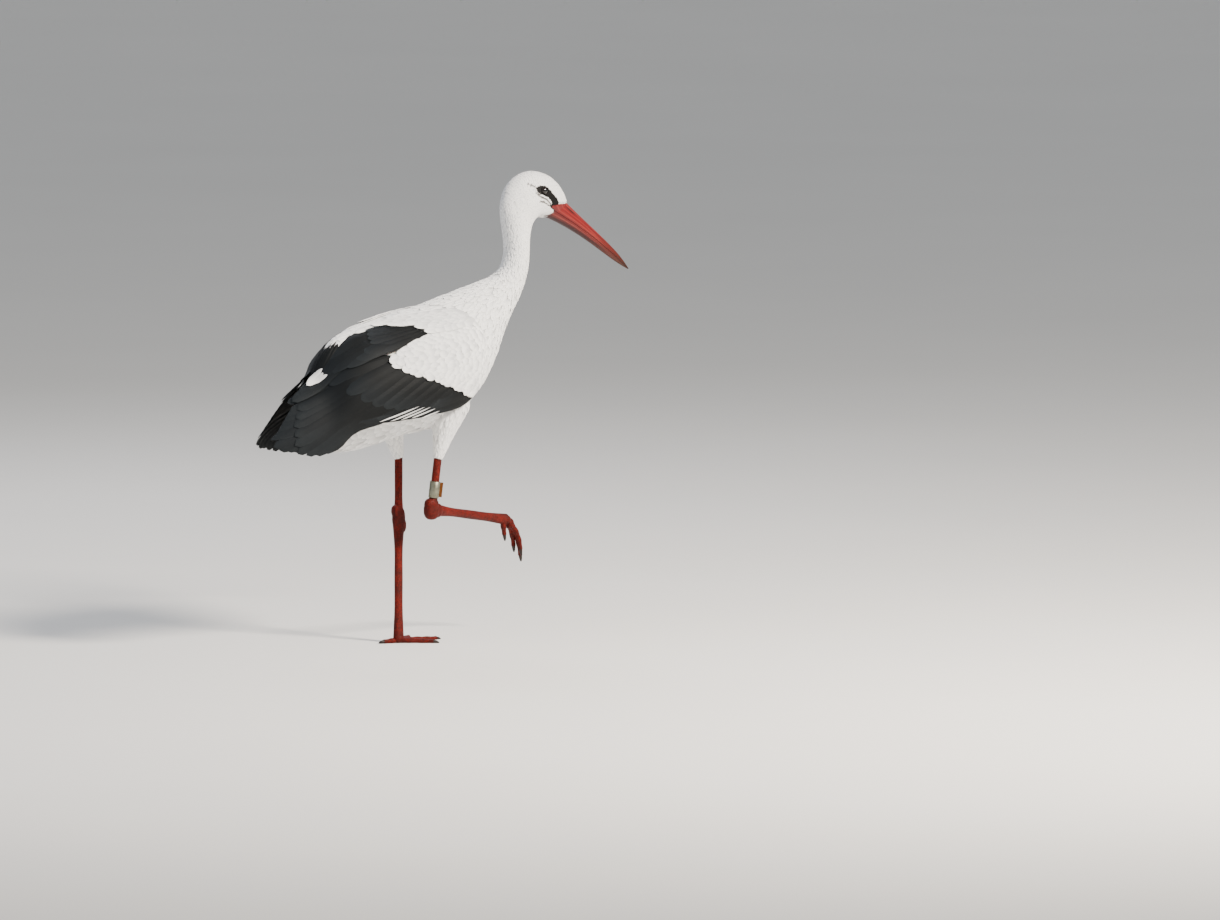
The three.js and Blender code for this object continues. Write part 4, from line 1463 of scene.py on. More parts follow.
        # Feathers that face down get a lower tone: painted shade under the neck and trunk.
        laid.tone -= 0.6 * np.clip(-basis[2][:, 2], 0, 1) * (place > 13)
        under_wings = (flat[:, 0] < self.rump[0]) & (np.abs(flat[:, 1]) > self.rump[1])
        return laid.chosen(~(bare & sideways) & ~self.hidden(points) & ~under_wings)

    def rectrices(self) -> Roots:
        """Lay the tail's twelve flight feathers, which make its square end.

        Returns:
            The feathers.
        """
        share = np.linspace(-1, 1, 12)
        root = columns(-182.0, 15 * share, 385.0)
        tip = columns(-231 + 5 * share ** 2, 17 * share, 343.0)
        ends = self.form.frame.metres(root), self.form.frame.metres(tip)
        lift = 0.6 - 1.5 * np.abs(share)
        patch = Atlas.BODY.place(0.97, 0.5 + 0.2 * share)
        tone = scattered(12, 0.5, 0.3, 5)
        return Roots.spanning(ends, self.back, (15 * MM, 0), (lift - 2, lift, 0), patch, tone)

    def rump_tertials(self, ground: Object) -> Roots:
        """Lay the black feathers that close over the rump between the folded wings.

        Args:
            ground: the form that they lie on.

        Returns:
            The feathers.
        """
        surface = surface_of(ground)
        count = 18
        share = np.linspace(-1, 1, count)
        away = np.abs(share)
        ends = []
        for x, y in ((-152 + 50 * away ** 0.7, 31 * share), (-214 + 6 * away, 18 * share)):
            above = self.form.frame.metres(columns(x, y, 600.0))
            ends.append(np.array([surface.ray_cast(Vector(point), Vector((0, 0, -1)))[0] for point in above]))
        lift = 1.6 + 1.4 * (1 - away) + scattered(count, 0, 0.5, 31)
        patch = Atlas.BODY.place(0.9, 0.5 + 0.4 * share)
        tone = scattered(count, 0.45, 0.5, 33)
        return Roots.spanning(tuple(ends), self.back, (19 * MM, 0), (0.6 * lift, lift + 1.2, 0), patch, tone)

    def build(self, grower: VaneGrower, finishes: Finishes) -> tuple[list[Object], list[Object]]:
        """Grow all of the body's feathers.

        Args:
            grower: what grows them.
            finishes: the bird's materials.

        Returns:
            The white pieces and the black ones.
        """
        white, black = finishes["white"], finishes["black"]
        ground = as_form(self.form.tube(0.0, 0.1, 96))
        made = []
        for k, (label, start, end, vane) in enumerate(self.zones):
            made += grower.grow(label, self.roots(start, end, 100 * k), ground, vane, white)
        made += grower.grow("coat_tail", self.rectrices(), ground, Vane.FLIGHT, white)
        dark = grower.grow("coat_rump", self.rump_tertials(ground), ground, Vane.FLIGHT, black)
        drop(ground)
        return made, dark


@dataclass(frozen=True)
class ThighPlumage:
    """White feathers of one thigh, which end in a fringe above the bare leg."""

    leg: LegForm

    def build(self, grower: VaneGrower, finish: Material) -> list[Object]:
        """Grow the thigh's feathers.

        Args:
            grower: what grows them.
            finish: their material.

        Returns:
            The pieces.
        """
        reach = np.linalg.norm(np.subtract(self.leg.feathers_end, self.leg.hip))
        rng = np.random.default_rng(17)
        shares, angles = [], []
        share, odd = 0.14, 0
        while share < 0.99:
            around = round(float(np.interp(share, [0.3, 1], [28, 18])))
            loose = np.arange(around) + 0.5 * odd + rng.uniform(-0.25, 0.25, around)
            angles.append(loose * 2 * math.pi / around)
            shares.append(np.clip(share + rng.uniform(-0.015, 0.015, around), 0, 0.99))
            share += float(np.interp(share, [0.4, 1], [8.0, 3.0])) / reach
            odd = 1 - odd
        place, turn = np.concatenate(shares), np.concatenate(angles) % (2 * math.pi)
        length = np.interp(place, [0.4, 0.85, 1.0], [34.0, 24.0, 15.0])
        width = np.interp(place, [0.4, 1.0], [13.0, 5.0])
        stand = self.leg.fluff * np.interp(place, [0.4, 0.62, 0.85, 1.0], [0.5, 1.0, 0.8, 0.0])
        sizes = (length, width, np.interp(place, [0.4, 1.0], [-4.0, -1.6]), 0.3 + stand)
        points = self.leg.thigh_at(place, turn)
        basis = self.leg.thigh_basis(place, turn)
        field = Atlas[f"THIGH_{self.leg.side.name}"]
        laid = combed(field, (place, turn / (2 * math.pi)), points, basis, sizes, 900)
        ground = as_form(self.leg.thigh_tube())
        made = grower.grow(f"coat_thigh_{self.leg.side.label}", laid, ground, Vane.PLUME, finish)
        drop(ground)
        return made


# --- plumage of the wings
@dataclass(frozen=True)
class WingRow:
    """One row of a wing's feathers, by where their roots and tips lie in the side view."""

    name: str
    dark: bool
    vane: Vane
    roots: tuple[Pair, ...]
    tips: tuple[Pair, ...]
    count: int
    width: float
    lay: Pair
    roll: float = 2.4
    bow: float = 3.0
    both: bool = True  # whether the left wing has it too


FOLDED_WING = (
    WingRow("primaries", True, Vane.FLIGHT, ((4, 424), (-30, 440), (-70, 484)),
            ((-222, 337), (-250, 340), (-262, 341), (-272, 348), (-268, 362), (-255, 380), (-240, 402),
             (-216, 430)), 16, 24, (-2.4, -0.8), 1.5, 3),
    WingRow("secondaries", True, Vane.FLIGHT, ((34, 430), (-30, 450), (-74, 480)),
            ((-104, 388), (-136, 378), (-164, 354), (-188, 336), (-214, 331), (-236, 335), (-242, 352),
             (-236, 378), (-222, 404)), 16, 27, (-1.2, 0.6), 1.8),
    WingRow("greater_coverts", True, Vane.FLIGHT, ((66, 424), (-60, 486)),
            ((4, 398), (-20, 399), (-60, 402), (-96, 408), (-121, 414), (-150, 430), (-165, 444)),
            10, 27, (-0.2, 1.2), 1.0),
    WingRow("flank_coverts", True, Vane.FLIGHT, ((56, 402), (20, 397)),
            ((-150, 381), (-116, 386), (-85, 386), (-50, 387), (-14, 391)), 7, 15, (0.4, 1.8), 0.8, 0.0),
    WingRow("alula", True, Vane.FLIGHT, ((88, 402), (84, 420)), ((0, 396), (-10, 401), (5, 411)),
            6, 15, (0.4, 1.8), 1.0),
    WingRow("tertials", True, Vane.FLIGHT, ((-66, 524), (-30, 522), (-10, 512)),
            ((-148, 500), (-166, 480), (-192, 456), (-214, 438), (-236, 421), (-208, 437), (-172, 453),
             (-140, 470), (-108, 492)), 15, 30, (0.6, 3.2)),
    WingRow("tertial_coverts", True, Vane.FLIGHT, ((-2, 532), (6, 527), (13, 519)),
            ((-84, 521), (-92, 507), (-89, 491)), 6, 17, (2.6, 4.0), 1.0, 0.0),
    WingRow("belly_streaks", False, Vane.PLUME, ((-28, 404), (-14, 402), (0, 401), (15, 394)),
            ((-98, 381), (-74, 381), (-43, 385), (-20, 384)), 5, 3.0, (3.6, 3.6), 0.0, 0.0),
    WingRow("rump_spot", False, Vane.CONTOUR, ((-158, 469), (-154, 461)), ((-200, 450), (-193, 441)),
            3, 13, (3.6, 6.0), 0.0, 0.0, False),
    WingRow("back_edge", False, Vane.CONTOUR, ((44, 556), (-20, 550), (-60, 542)),
            ((-14, 548), (-60, 540), (-104, 530)), 9, 18, (0.2, 1.0), 0.6, 0.0),
)


class WingPlumage:
    """Black flight feathers and white coverts of one folded wing."""

    front = ((98, 546), (125, 520), (130, 490), (118, 450), (104, 420))
    border = ((-24, 509), (-80, 475), (-42, 458), (4, 444), (46, 428), (86, 413))
    scapular_front = ((92, 552), (108, 532))
    scapular_end = ((-76, 535), (-44, 529), (-14, 532), (3, 519))

    def __init__(self, form: WingForm) -> None:
        """Make the sheet that the feathers lie on."""
        self.form = form
        self.side = form.side
        self.sheet = as_form(form.sheet())
        self.surface = surface_of(self.sheet)

    def cast(self, flat: Array) -> tuple[Array, Array, Array]:
        """Put places of the side view on the sheet.

        Args:
            flat: [x, z] rows, in millimetres.

        Returns:
            The places, the sheet's directions there, and their shares of the sheet.
        """
        side = self.side.value
        along, down = self.form.sheet_steps
        places, normals, shares = [], [], []
        for start in self.form.frame.metres(columns(flat[:, 0], 300.0 * side, flat[:, 1])):
            place, normal, face, _ = self.surface.ray_cast(Vector(start), Vector((0, -side, 0)))
            if place is None:
                place, normal, face, _ = self.surface.find_nearest(Vector((start[0], 0.02 * side, start[2])))
            places.append(place)
            normals.append(normal)
            shares.append((face // down / along, face % down / down))
        return np.array(places), np.array(normals), np.array(shares)

    def laid(self, root: Array, tip: Array, width: Array | float, lay: tuple, roll: float, bow: float,
             seed: int) -> Roots:
        """Lay feathers between places of the side view.

        Args:
            root: their roots.
            tip: their tips.
            width: their widths.
            lay: heights of their roots and tips over the sheet.
            roll: how far one edge stands over the other.
            bow: how far they curve down.
            seed: where the random numbers start.

        Returns:
            The feathers.
        """
        count = len(root)
        start, _, shares = self.cast(root)
        end, _, _ = self.cast(tip)
        _, normal, _ = self.cast((root + tip) / 2)
        sign = -self.side.value
        low, high = (value + scattered(count, 0, 0.3, seed + k) for k, value in enumerate(lay))
        shape = (width * MM * scattered(count, 1, 0.1, seed + 2), sign * bow * MM)
        patch = Atlas[f"WING_{self.side.name}"].place(*shares.T)
        tone = scattered(count, 0.45, 0.5, seed + 3)
        return Roots.spanning((start, end), normal, shape, (low, high, sign * roll), patch, tone)

    def row(self, row: WingRow, seed: int) -> Roots:
        """Lay one row of feathers, each a little over the one below it.

        Args:
            row: the row.
            seed: where the random numbers start.

        Returns:
            The feathers.
        """
        shares = np.linspace(0, 1, row.count)
        tips = along_line(row.tips, shares)
        if row.vane is Vane.CONTOUR:
            tips += np.random.default_rng(seed).uniform(-3.5, 3.5, tips.shape)
        lay = (row.lay[0], row.lay[1] + np.linspace(0, 0.1 * row.count, row.count))
        return self.laid(along_line(row.roots, shares), tips, row.width, lay, row.roll, row.bow, seed)

    def coverts(self) -> Roots:
        """Lay the white lesser and median coverts in rows whose last tips lie scalloped on the black.

        Returns:
            The feathers.
        """
        rng = np.random.default_rng(3)
        rows, parts = 19, []
        for k in range(rows):
            share = k / (rows - 1)
            count = round(15 + 5 * share)
            spots = (np.arange(count) + 0.5 + 0.5 * (k % 2) + rng.uniform(-0.2, 0.2, count)) / (count + 0.5)
            start = along_line(self.front, spots)
            end = along_line(self.border, spots)
            length = 24 + 10 * share
            ahead = unit(end - start)
            reach = np.linalg.norm(end - start, axis=1, keepdims=True)
            tip = start + ahead * (length * 0.6 + (reach - length * 0.6) * share)
            tip += ahead * rng.uniform(-3.5, 3.5, (count, 1))
            root = tip - ahead * length + rng.uniform(-4, 4, (count, 2))
            lay = (-1.5 + 1.5 * share, 1.6 + 1.6 * share + rng.uniform(-0.8, 1.0, count))
            width = 14.5 + rng.uniform(-2.5, 2.5, count)
            parts.append(self.laid(root, tip, width, lay, 1.0, 1.0, 40 + 5 * k))
        return Roots.joined(parts)

    def scapulars(self) -> Roots:
        """Lay the long white feathers between the back and the wing.

        Returns:
            The feathers.
        """
        rng = np.random.default_rng(8)
        rows, count, parts = 12, 8, []
        for k in range(rows):
            share = k / (rows - 1)
            loose = np.arange(count) + 0.4 * (k % 2) + rng.uniform(0, 0.4, count)
            spots = np.clip(loose / (count - 0.5), 0, 1)
            start = along_line(self.scapular_front, spots)
            end = along_line(self.scapular_end, spots)
            ahead = unit(end - start)
            reach = np.linalg.norm(end - start, axis=1, keepdims=True)
            tip = start + ahead * (30 + (reach - 30) * share + rng.uniform(-3, 3, (count, 1)))
            root = tip - ahead * (40 + 8 * share)
            lay = (0.6 + 1.6 * share, 3.0 + 2.4 * share)
            parts.append(self.laid(root, tip, 16.0, lay, 0.8, 0.0, 300 + 5 * k))
        return Roots.joined(parts)

    def build(self, grower: VaneGrower, finishes: Finishes) -> list[tuple[str, bool, list[Object]]]:
        """Grow the wing's feathers.

        Args:
            grower: what grows them.
            finishes: the bird's materials.

        Returns:
            Each row's name, whether it is dark, and its pieces.
        """
        rows = [row for row in FOLDED_WING if row.both or self.side is Side.RIGHT]
        laid = [(row.name, row.dark, row.vane, self.row(row, 10 * k)) for k, row in enumerate(rows)]
        laid.append(("coverts", False, Vane.CONTOUR, Roots.joined([self.coverts(), self.scapulars()])))
        made = []
        for name, dark, vane, roots in laid:
            label = f"coat_wing_{self.side.label}_{name}"
            finish = finishes["black" if dark else "white"]
            made.append((name, dark, grower.grow(label, roots, self.sheet, vane, finish)))
        return made


# --- skin
def direction(heading: float, fall: float) -> Array:
    """Unit vector turned `heading` degrees from straight ahead and falling `fall` degrees."""
    h, f = math.radians(heading), math.radians(fall)
    return np.array([math.cos(h) * math.cos(f), math.sin(h) * math.cos(f), -math.sin(f)])


def toe_path(root: Array, heading: float, length: float, falls: Pair) -> list[Array]:
    """Path of a toe that bends from one fall to another.

    Args:
        root: where it starts.
        heading: degrees from straight ahead.
        length: its length.
        falls: degrees that it falls at its root and at its end.

    Returns:
        Points of the path.
    """
    points = [np.array(root, float)]
    for k in np.linspace(0.5, 4.5, 5):
        points.append(points[-1] + direction(heading, falls[0] + (falls[1] - falls[0]) * k / 5) * length / 5)
    return points


TOE_LENGTHS = {"inner": 58, "middle": 78, "outer": 64, "hind": 27}
TOE_JOINTS = {"inner": 3, "middle": 4, "outer": 4, "hind": 2}


def standing_leg(frame: BirdFrame) -> LegForm:
    """Return the left leg, which carries the bird."""
    spread = {"inner": -40, "middle": 2, "outer": 40, "hind": 172}
    toes = {which: toe_path((4, 7, 4.06), turn, TOE_LENGTHS[which], (1, 2)) for which, turn in spread.items()}
    knobs = (((19.4, 28, 204), (11.0, 8.8, 20)), ((17.0, 28.5, 216), (10.2, 8.4, 11)),
             ((21.6, 27.5, 192), (10.6, 8.6, 14)))
    return LegForm(Side.LEFT, frame, (-9.3, 45.3, 445.3), (28, 40, 304), (19.4, 28, 204), (4, 7, 6.5),
                   knobs, 1.3, toes, (12, 13, 3.2))


def lifted_leg(frame: BirdFrame) -> LegForm:
    """Return the right leg, whose toes hang closed in front."""
    turn, fall, length = 16.5, 9.5, 200
    heel = np.array([38.0, -41.0, 223.0])
    ahead = direction(turn, fall)
    foot = heel + ahead * length
    spread = {"inner": 12, "middle": 1, "outer": -10}
    toes = {which: toe_path(foot, turn + by, TOE_LENGTHS[which], (30, 84)) for which, by in spread.items()}
    toes["hind"] = toe_path(foot - 8 * ahead, turn + 6, TOE_LENGTHS["hind"], (78, 78))
    knobs = (((37, -41, 222), (13.2, 10.4, 15.8)), ((36.5, -41.5, 230), (12.2, 9.8, 12.5)),
             ((46, -38.5, 221), (13, 9.6, 12.4)))
    return LegForm(Side.RIGHT, frame, (80.5, -47.7, 437.3), (47, -45, 308), tuple(heel), tuple(foot),
                   knobs, 0.6, toes, (7.5, 9.0, 9.5))


@dataclass(frozen=True)
class Skin:
    """One closed skin under the plumage, bare on the face and on the legs."""

    body: BodyForm
    plumage: BodyPlumage
    wings: list[WingForm]
    legs: list[LegForm]
    face: BareFace
    bare_below: float = 318.0  # height under which the legs have no feathers

    def eyelids(self, side: Side) -> Object:
        """Make the folded rim of one eye's lids.

        Args:
            side: which eye.

        Returns:
            The rim, as a closed ring.
        """
        x, y, z = self.body.frame.eye
        turns, rounds = full_turn(72), full_turn(16)[None, :, None]
        cos, sin = math.cos(self.face.lid_tilt), math.sin(self.face.lid_tilt)
        level = np.array([self.face.lid[0] * np.cos(turns), self.face.lid[1] * np.sin(turns)])
        rim = np.array([[cos, -sin], [sin, cos]]) @ level
        reach = np.sqrt(np.maximum(Eye.radius ** 2 - rim[0] ** 2 - rim[1] ** 2, 0))
        middle = columns(x + rim[0], side.value * (y + np.maximum(reach + 0.3, 4.6)), z + rim[1])
        outward = unit(columns(rim[0], 0, rim[1]))[:, None]
        fold = np.cos(rounds) * outward * 1.25 + np.sin(rounds) * np.array([0, side.value, 0]) * 1.6
        rings = middle[:, None] + self.face.lid_radius * fold
        return closed_tube("lids", self.body.frame.metres(rings), loop=True)

    def bare_leg(self, leg: LegForm) -> list[Object]:
        """Make one leg's bare shank, heel, foot and toes.

        Args:
            leg: the leg.

        Returns:
            Closed parts that overlap.
        """
        frame = leg.frame
        ends, upper, lower, pad = leg.joint, leg.tibia, leg.tarsus, leg.pad_radius
        knee, heel, foot = (np.array(place, float) for place in (leg.feathers_end, leg.heel, leg.foot))
        above = knee + (knee - heel) * 0.25
        webbed = np.mean([leg.toes[which][1] for which in ("inner", "middle", "outer")], axis=0)
        parts = [
            rod(frame, [above, (above + heel) / 2, heel], [upper, upper, upper, upper, ends]),
            rod(frame, [heel, (heel + foot) / 2, foot], [leg.root, lower, lower, lower, ends], 90),
            *(ellipsoid(frame, middle, sizes, 32, 2.5) for middle, sizes in leg.knobs),
            ellipsoid(frame, leg.foot, (pad, pad, pad * 0.86), 32),
            ellipsoid(frame, webbed, leg.web),
        ]
        for which, path in leg.toes.items():
            steps = 2 * TOE_JOINTS[which]
            swelling = np.where(np.arange(steps + 1) % 2, 0.9, 1.06)
            radii = np.linspace(*leg.toe_radius, steps + 1) * swelling
            parts.append(rod(frame, path, columns(radii * 0.9, radii), 60))
        return parts

    @staticmethod
    def combine(whole: Object, part: Object, operation: str) -> None:
        """Add a closed part to a mesh, or take it away.

        Args:
            whole: the mesh.
            part: the part, which is dropped.
            operation: the modifier's name for it.
        """
        cut = whole.modifiers.new("Combine", "BOOLEAN")
        cut.operation = operation
        cut.solver = "MANIFOLD"
        cut.object = part
        made = evaluated(whole)
        whole.modifiers.clear()
        whole.data = made
        drop(part)

    def region(self, points: Array) -> Array:
        """Find which finish each place of the skin takes.

        Args:
            points: places, in metres.

        Returns:
            0 under feathers, 1 on the bare legs, 2 on the bare face.
        """
        place = self.body.frame.millimetres(points)
        sheathed = self.face.depth_inside(points) > 0.3
        face = (self.face.dark(points) > -1.5) & (np.abs(place[:, 1]) > 9) | sheathed
        return np.where(face, 2, np.where(place[:, 2] < self.bare_below, 1, 0))

    def joint_shade(self, points: Array) -> Array:
        """Find how dark places are for lying near a joint of the legs.

        Args:
            points: places, in metres.

        Returns:
            The share of the joints' darker skin.
        """
        place = self.body.frame.millimetres(points)
        shade = np.zeros(len(place))
        for leg in self.legs:
            spots = [(leg.heel, 15.0), (leg.foot, 11.0)]
            for which, path in leg.toes.items():
                joints = TOE_JOINTS[which]
                spots += [(spot, 4.5) for spot in along_line(path, np.arange(1, joints + 1) / joints)]
            for spot, reach in spots:
                away = np.linalg.norm(place - np.array(spot), axis=1)
                shade = np.maximum(shade, np.exp(-(away / reach) ** 2))
        return 0.8 * shade

    def build(self, finishes: Finishes) -> Object:
        """Make the skin.

        Args:
            finishes: the bird's materials.

        Returns:
            The skin.
        """
        table = self.plumage.table
        skin = self.body.tube((table[:, 0], table[:, 5]), 0.05, 112)
        parts = [wing.arm() for wing in self.wings] + [leg.thigh_tube(4.0) for leg in self.legs]
        parts += [part for leg in self.legs for part in self.bare_leg(leg)]
        parts += [self.eyelids(side) for side in Side]
        for part in parts:
            self.combine(skin, part, "UNION")
        low = self.body.frame.metres(np.zeros(3))
        below = box_object("below", low + np.array([-0.2, -0.2, -0.05]), low + np.array([0.3, 0.3, 0.0]))
        self.combine(skin, below, "DIFFERENCE")
        mesh = skin.data
        skin.name = mesh.name = "skin"
        mesh.materials.clear()
        for key in ("down", "leg", "face"):
            mesh.materials.append(finishes[key])
        centres = np.empty(len(mesh.polygons) * 3, np.float32)
        mesh.polygons.foreach_get("center", centres)
        kinds = self.region(centres.reshape(-1, 3).astype(float))
        mesh.polygons.foreach_set("material_index", kinds.astype(np.int32))
        add_attribute(mesh, "joint", self.joint_shade(read_points(mesh)))
        mesh.shade_smooth()
        return skin


def box_object(name: str, low: Array, high: Array) -> Object:
    """Make a helper block between two corners."""
    corners = np.array(list(product(*zip(low, high))))
    faces = [[0, 1, 3, 2], [4, 6, 7, 5], [0, 4, 5, 1], [2, 3, 7, 6], [0, 2, 6, 4], [1, 5, 7, 3]]
    made = new_object(name, corners, faces)
    face_outwards(made)
    return made


# --- horn, eyes and ring
@dataclass(frozen=True)
class Bill:
    """Two mandibles that meet along the mouth line and reach back over the face as a thin sheath."""

    body: BodyForm
    face: BareFace
    tip: Pair = (467.5, 595.0)
    half: float = 13.2
    mouth: float = 0.64  # share of its depth above the mouth line, at the root
    mouth_rise: float = 0.15  # how much less that is at the tip
    mouth_drop: float = 0.035  # how much that share grows in one station back over the face
    blunt: float = 0.9
    swell: Pair = (2.8, -5.0)
    full_tip: float = 2.4
    gap: float = 0.15
    mouth_groove: float = 0.6
    sheath: float = 1.75  # stations that the sheath reaches back
    sheath_depth: float = 0.5
    nostril: Triple = (0.075, 0.085, 0.2)  # middle, half length, share of the depth
    nostril_size: Pair = (1.7, 1.3)  # half width and depth

    def outline(self) -> tuple[Array, Array, Array, Array, Array]:
        """Find the bill's outline from the back of its sheath to its tip.

        Returns:
            Share of the length, ridge, keel, half width and mouth share, one row for each ring.
        """
        back = np.linspace(self.sheath, 0, 24, endpoint=False)
        s = (1 - (1 - np.linspace(0, 1, 161)) ** 1.15)[:, None]
        stations = np.array(self.body.stations, float)
        rows = flowing(stations, back)
        tip = np.array(self.tip)
        roots = stations[0, 0:2], stations[0, 2:4]
        ahead = (tip - roots[0]) / np.linalg.norm(tip - roots[0])
        down = np.array([ahead[1], -ahead[0]])
        full = self.full_tip * np.sin(math.pi * s ** 3)
        bow = np.sin(math.pi * s ** 1.3)
        dip = np.sin(math.pi * s ** 0.75)
        upper = roots[0] + (tip - roots[0]) * s - down * (self.swell[0] * bow + self.blunt * s + full)
        lower = roots[1] + (tip - roots[1]) * s + down * (self.swell[1] * dip + self.blunt * s + full)
        inset = self.sheath_depth * unit(rows[:, 2:4] - rows[:, 0:2])
        ridge = np.concatenate([rows[:, 0:2] + inset, upper])
        keel = np.concatenate([rows[:, 2:4] - inset, lower])
        wide = np.maximum(self.half * (1 - s[:, 0]) ** 0.8, self.blunt)
        half = np.concatenate([rows[:, 4] - self.sheath_depth, wide])
        share = np.concatenate([np.zeros(len(back)), s[:, 0]])
        rise = self.mouth_rise * np.sin(math.pi / 2 * s[:, 0] ** 2)
        mouth = np.concatenate([self.mouth + self.mouth_drop * back, self.mouth - rise])
        return share, ridge, keel, half, mouth

    def mandible(self, name: str, upper: bool, finish: Material) -> Object:
        """Make one mandible.

        Args:
            name: its name.
            upper: whether it is the upper one.
            finish: its material.

        Returns:
            The mandible, closed.
        """
        along, ridge, keel, half, mouth = self.outline()
        turn = np.linspace(0, 1, 29)
        depth = np.linalg.norm(keel - ridge, axis=1)[:, None]
        cut = mouth[:, None]
        part = self.gap / 2 / depth
        held = (cut - part) * turn if upper else 1 - (1 - cut - part) * turn
        width = half[:, None] * np.sqrt(np.maximum(1 - (2 * held - 1) ** 2, 0))
        near_cut = np.abs(held - cut) * depth
        width = width - np.minimum(0.12 * width, self.mouth_groove) * np.exp(-(near_cut / 0.55) ** 2)
        hollow = np.zeros_like(width)
        if upper:
            offset = (held - self.nostril[2]) * depth / self.nostril_size[0]
            lengthwise = (along[:, None] - self.nostril[0]) / self.nostril[1]
            hollow = np.clip(1.3 - np.hypot(lengthwise, offset), 0, 1)
            hollow = hollow * hollow * (3 - 2 * hollow)
        flat = ridge[:, None] + (keel - ridge)[:, None] * held[..., None]
        outside = np.clip(-inside_by(self.face.sheath, flat) / 1.2, 0, 1) * (along[:, None] == 0)
        width = width - self.nostril_size[1] * hollow - 3.0 * outside * outside * (3 - 2 * outside)
        right = columns(flat[..., 0], -width, flat[..., 1])
        left = (right * np.array([1, -1, 1]))[:, :0:-1]
        made = closed_tube(name, self.body.frame.metres(np.concatenate([right, left], axis=1)))
        # Painted shade in the nostril and along the mouth line, and the face's dark skin where it reaches
        # onto the sheath.
        shade = np.maximum(hollow, 0.8 * np.exp(-(near_cut / 0.6) ** 2))
        shade = np.maximum(shade, np.clip(inside_by(self.face.patch, flat) / 1.5 + 0.3, 0, 1))
        around = np.concatenate([held, held[:, :0:-1]], axis=1)
        dark = np.concatenate([shade, shade[:, :0:-1]], axis=1)
        lengthwise = np.broadcast_to(along[:, None], around.shape)
        add_attribute(made.data, "hollow", np.concatenate([dark.ravel(), [0, 0]]))
        growth = columns(around.ravel(), lengthwise.ravel())
        add_map(made.data, "growth", np.vstack([growth, [[0, 0], [0, 1]]]))
        made.data.materials.append(finish)
        return made

    def build(self, finishes: Finishes) -> dict[str, Object]:
        """Make both mandibles.

        Args:
            finishes: the bird's materials.

        Returns:
            The pieces, by the node that each replaces.
        """
        parts = {"bill_upper": True, "bill_lower": False}
        return {node: self.mandible(f"horn_{node}", upper, finishes["bill"]) for node, upper in parts.items()}


@dataclass(frozen=True)
class Eye:
    """One eyeball, whose pole is the middle of its pupil."""

    frame: BirdFrame
    side: Side
    radius: float = 7.8
    cornea: float = 0.35  # how far the cornea stands out, in millimetres

    def build(self, finishes: Finishes) -> Object:
        """Make the eye.

        Args:
            finishes: the bird's materials.

        Returns:
            The eye.
        """
        name = f"eyeball_{self.side.label}"
        tilt = np.linspace(0.02, math.pi - 0.02, 65)
        turn = full_turn(96)
        t, a = np.meshgrid(tilt, turn, indexing="ij")
        reach = self.radius + self.cornea * np.exp(-(t / 0.55) ** 2) - 0.05
        ball = columns(np.sin(t) * np.cos(a), self.side.value * np.cos(t), np.sin(t) * np.sin(a))
        x, y, z = self.frame.eye
        middle = np.array([x, y * self.side.value, z])
        made = closed_tube(name, self.frame.metres(middle + ball * reach[..., None]))
        v = np.concatenate([(t / math.pi).ravel(), [0, 1]])
        u = np.concatenate([(np.abs(a / math.pi - 1)).ravel(), [0, 0]])
        add_map(made.data, "growth", columns(u, v))
        made.data.materials.append(finishes["eye"])
        return made


@dataclass(frozen=True)
class Claws:
    """The blunt claws of one foot."""

    leg: LegForm
    length: float = 9.5
    sizes: tuple[Pair, ...] = ((3.2, 3.5), (2.8, 3.1), (2.1, 2.5), (0.9, 1.2))
    steps: int = 30

    def build(self, finishes: Finishes) -> Object:
        """Make the claws as one piece.

        Args:
            finishes: the bird's materials.

        Returns:
            The piece.
        """
        share = np.repeat(np.linspace(0, 1, self.steps + 1), ROD_SIDES)
        around = np.abs(np.tile(np.linspace(-1, 1, ROD_SIDES, endpoint=False), self.steps + 1))
        growth = columns(np.append(around, [0, 0]), np.append(share, [0, 1]))
        sag = np.array([0, 0, self.length])
        made = []
        for path in self.leg.toes.values():
            end, ahead = path[-1], unit(path[-1] - path[-2])
            middle = end + ahead * self.length * 0.5 - 0.04 * sag
            tip = end + ahead * self.length - 0.16 * sag
            claw = rod(self.leg.frame, [end - ahead * 1.2, middle, tip], self.sizes, self.steps)
            points = read_points(claw.data)
            points[:, 2] = np.maximum(points[:, 2], 0)
            move_points(claw.data, points)
            add_map(claw.data, "growth", growth)
            add_attribute(claw.data, "hollow", np.zeros(len(growth)))
            made.append(claw)
        whole = joined(f"claws_{self.leg.side.label}", made)
        whole.data.materials.append(finishes["claw"])
        return whole


def joined(name: str, parts: list[Object]) -> Object:
    """Join mesh objects to one, without merging what touches.

    Args:
        name: the result's name.
        parts: the objects.

    Returns:
        The result.
    """
    with bpy.context.temp_override(active_object=parts[0], selected_editable_objects=parts):
        bpy.ops.object.join()
    parts[0].name = parts[0].data.name = name
    return parts[0]


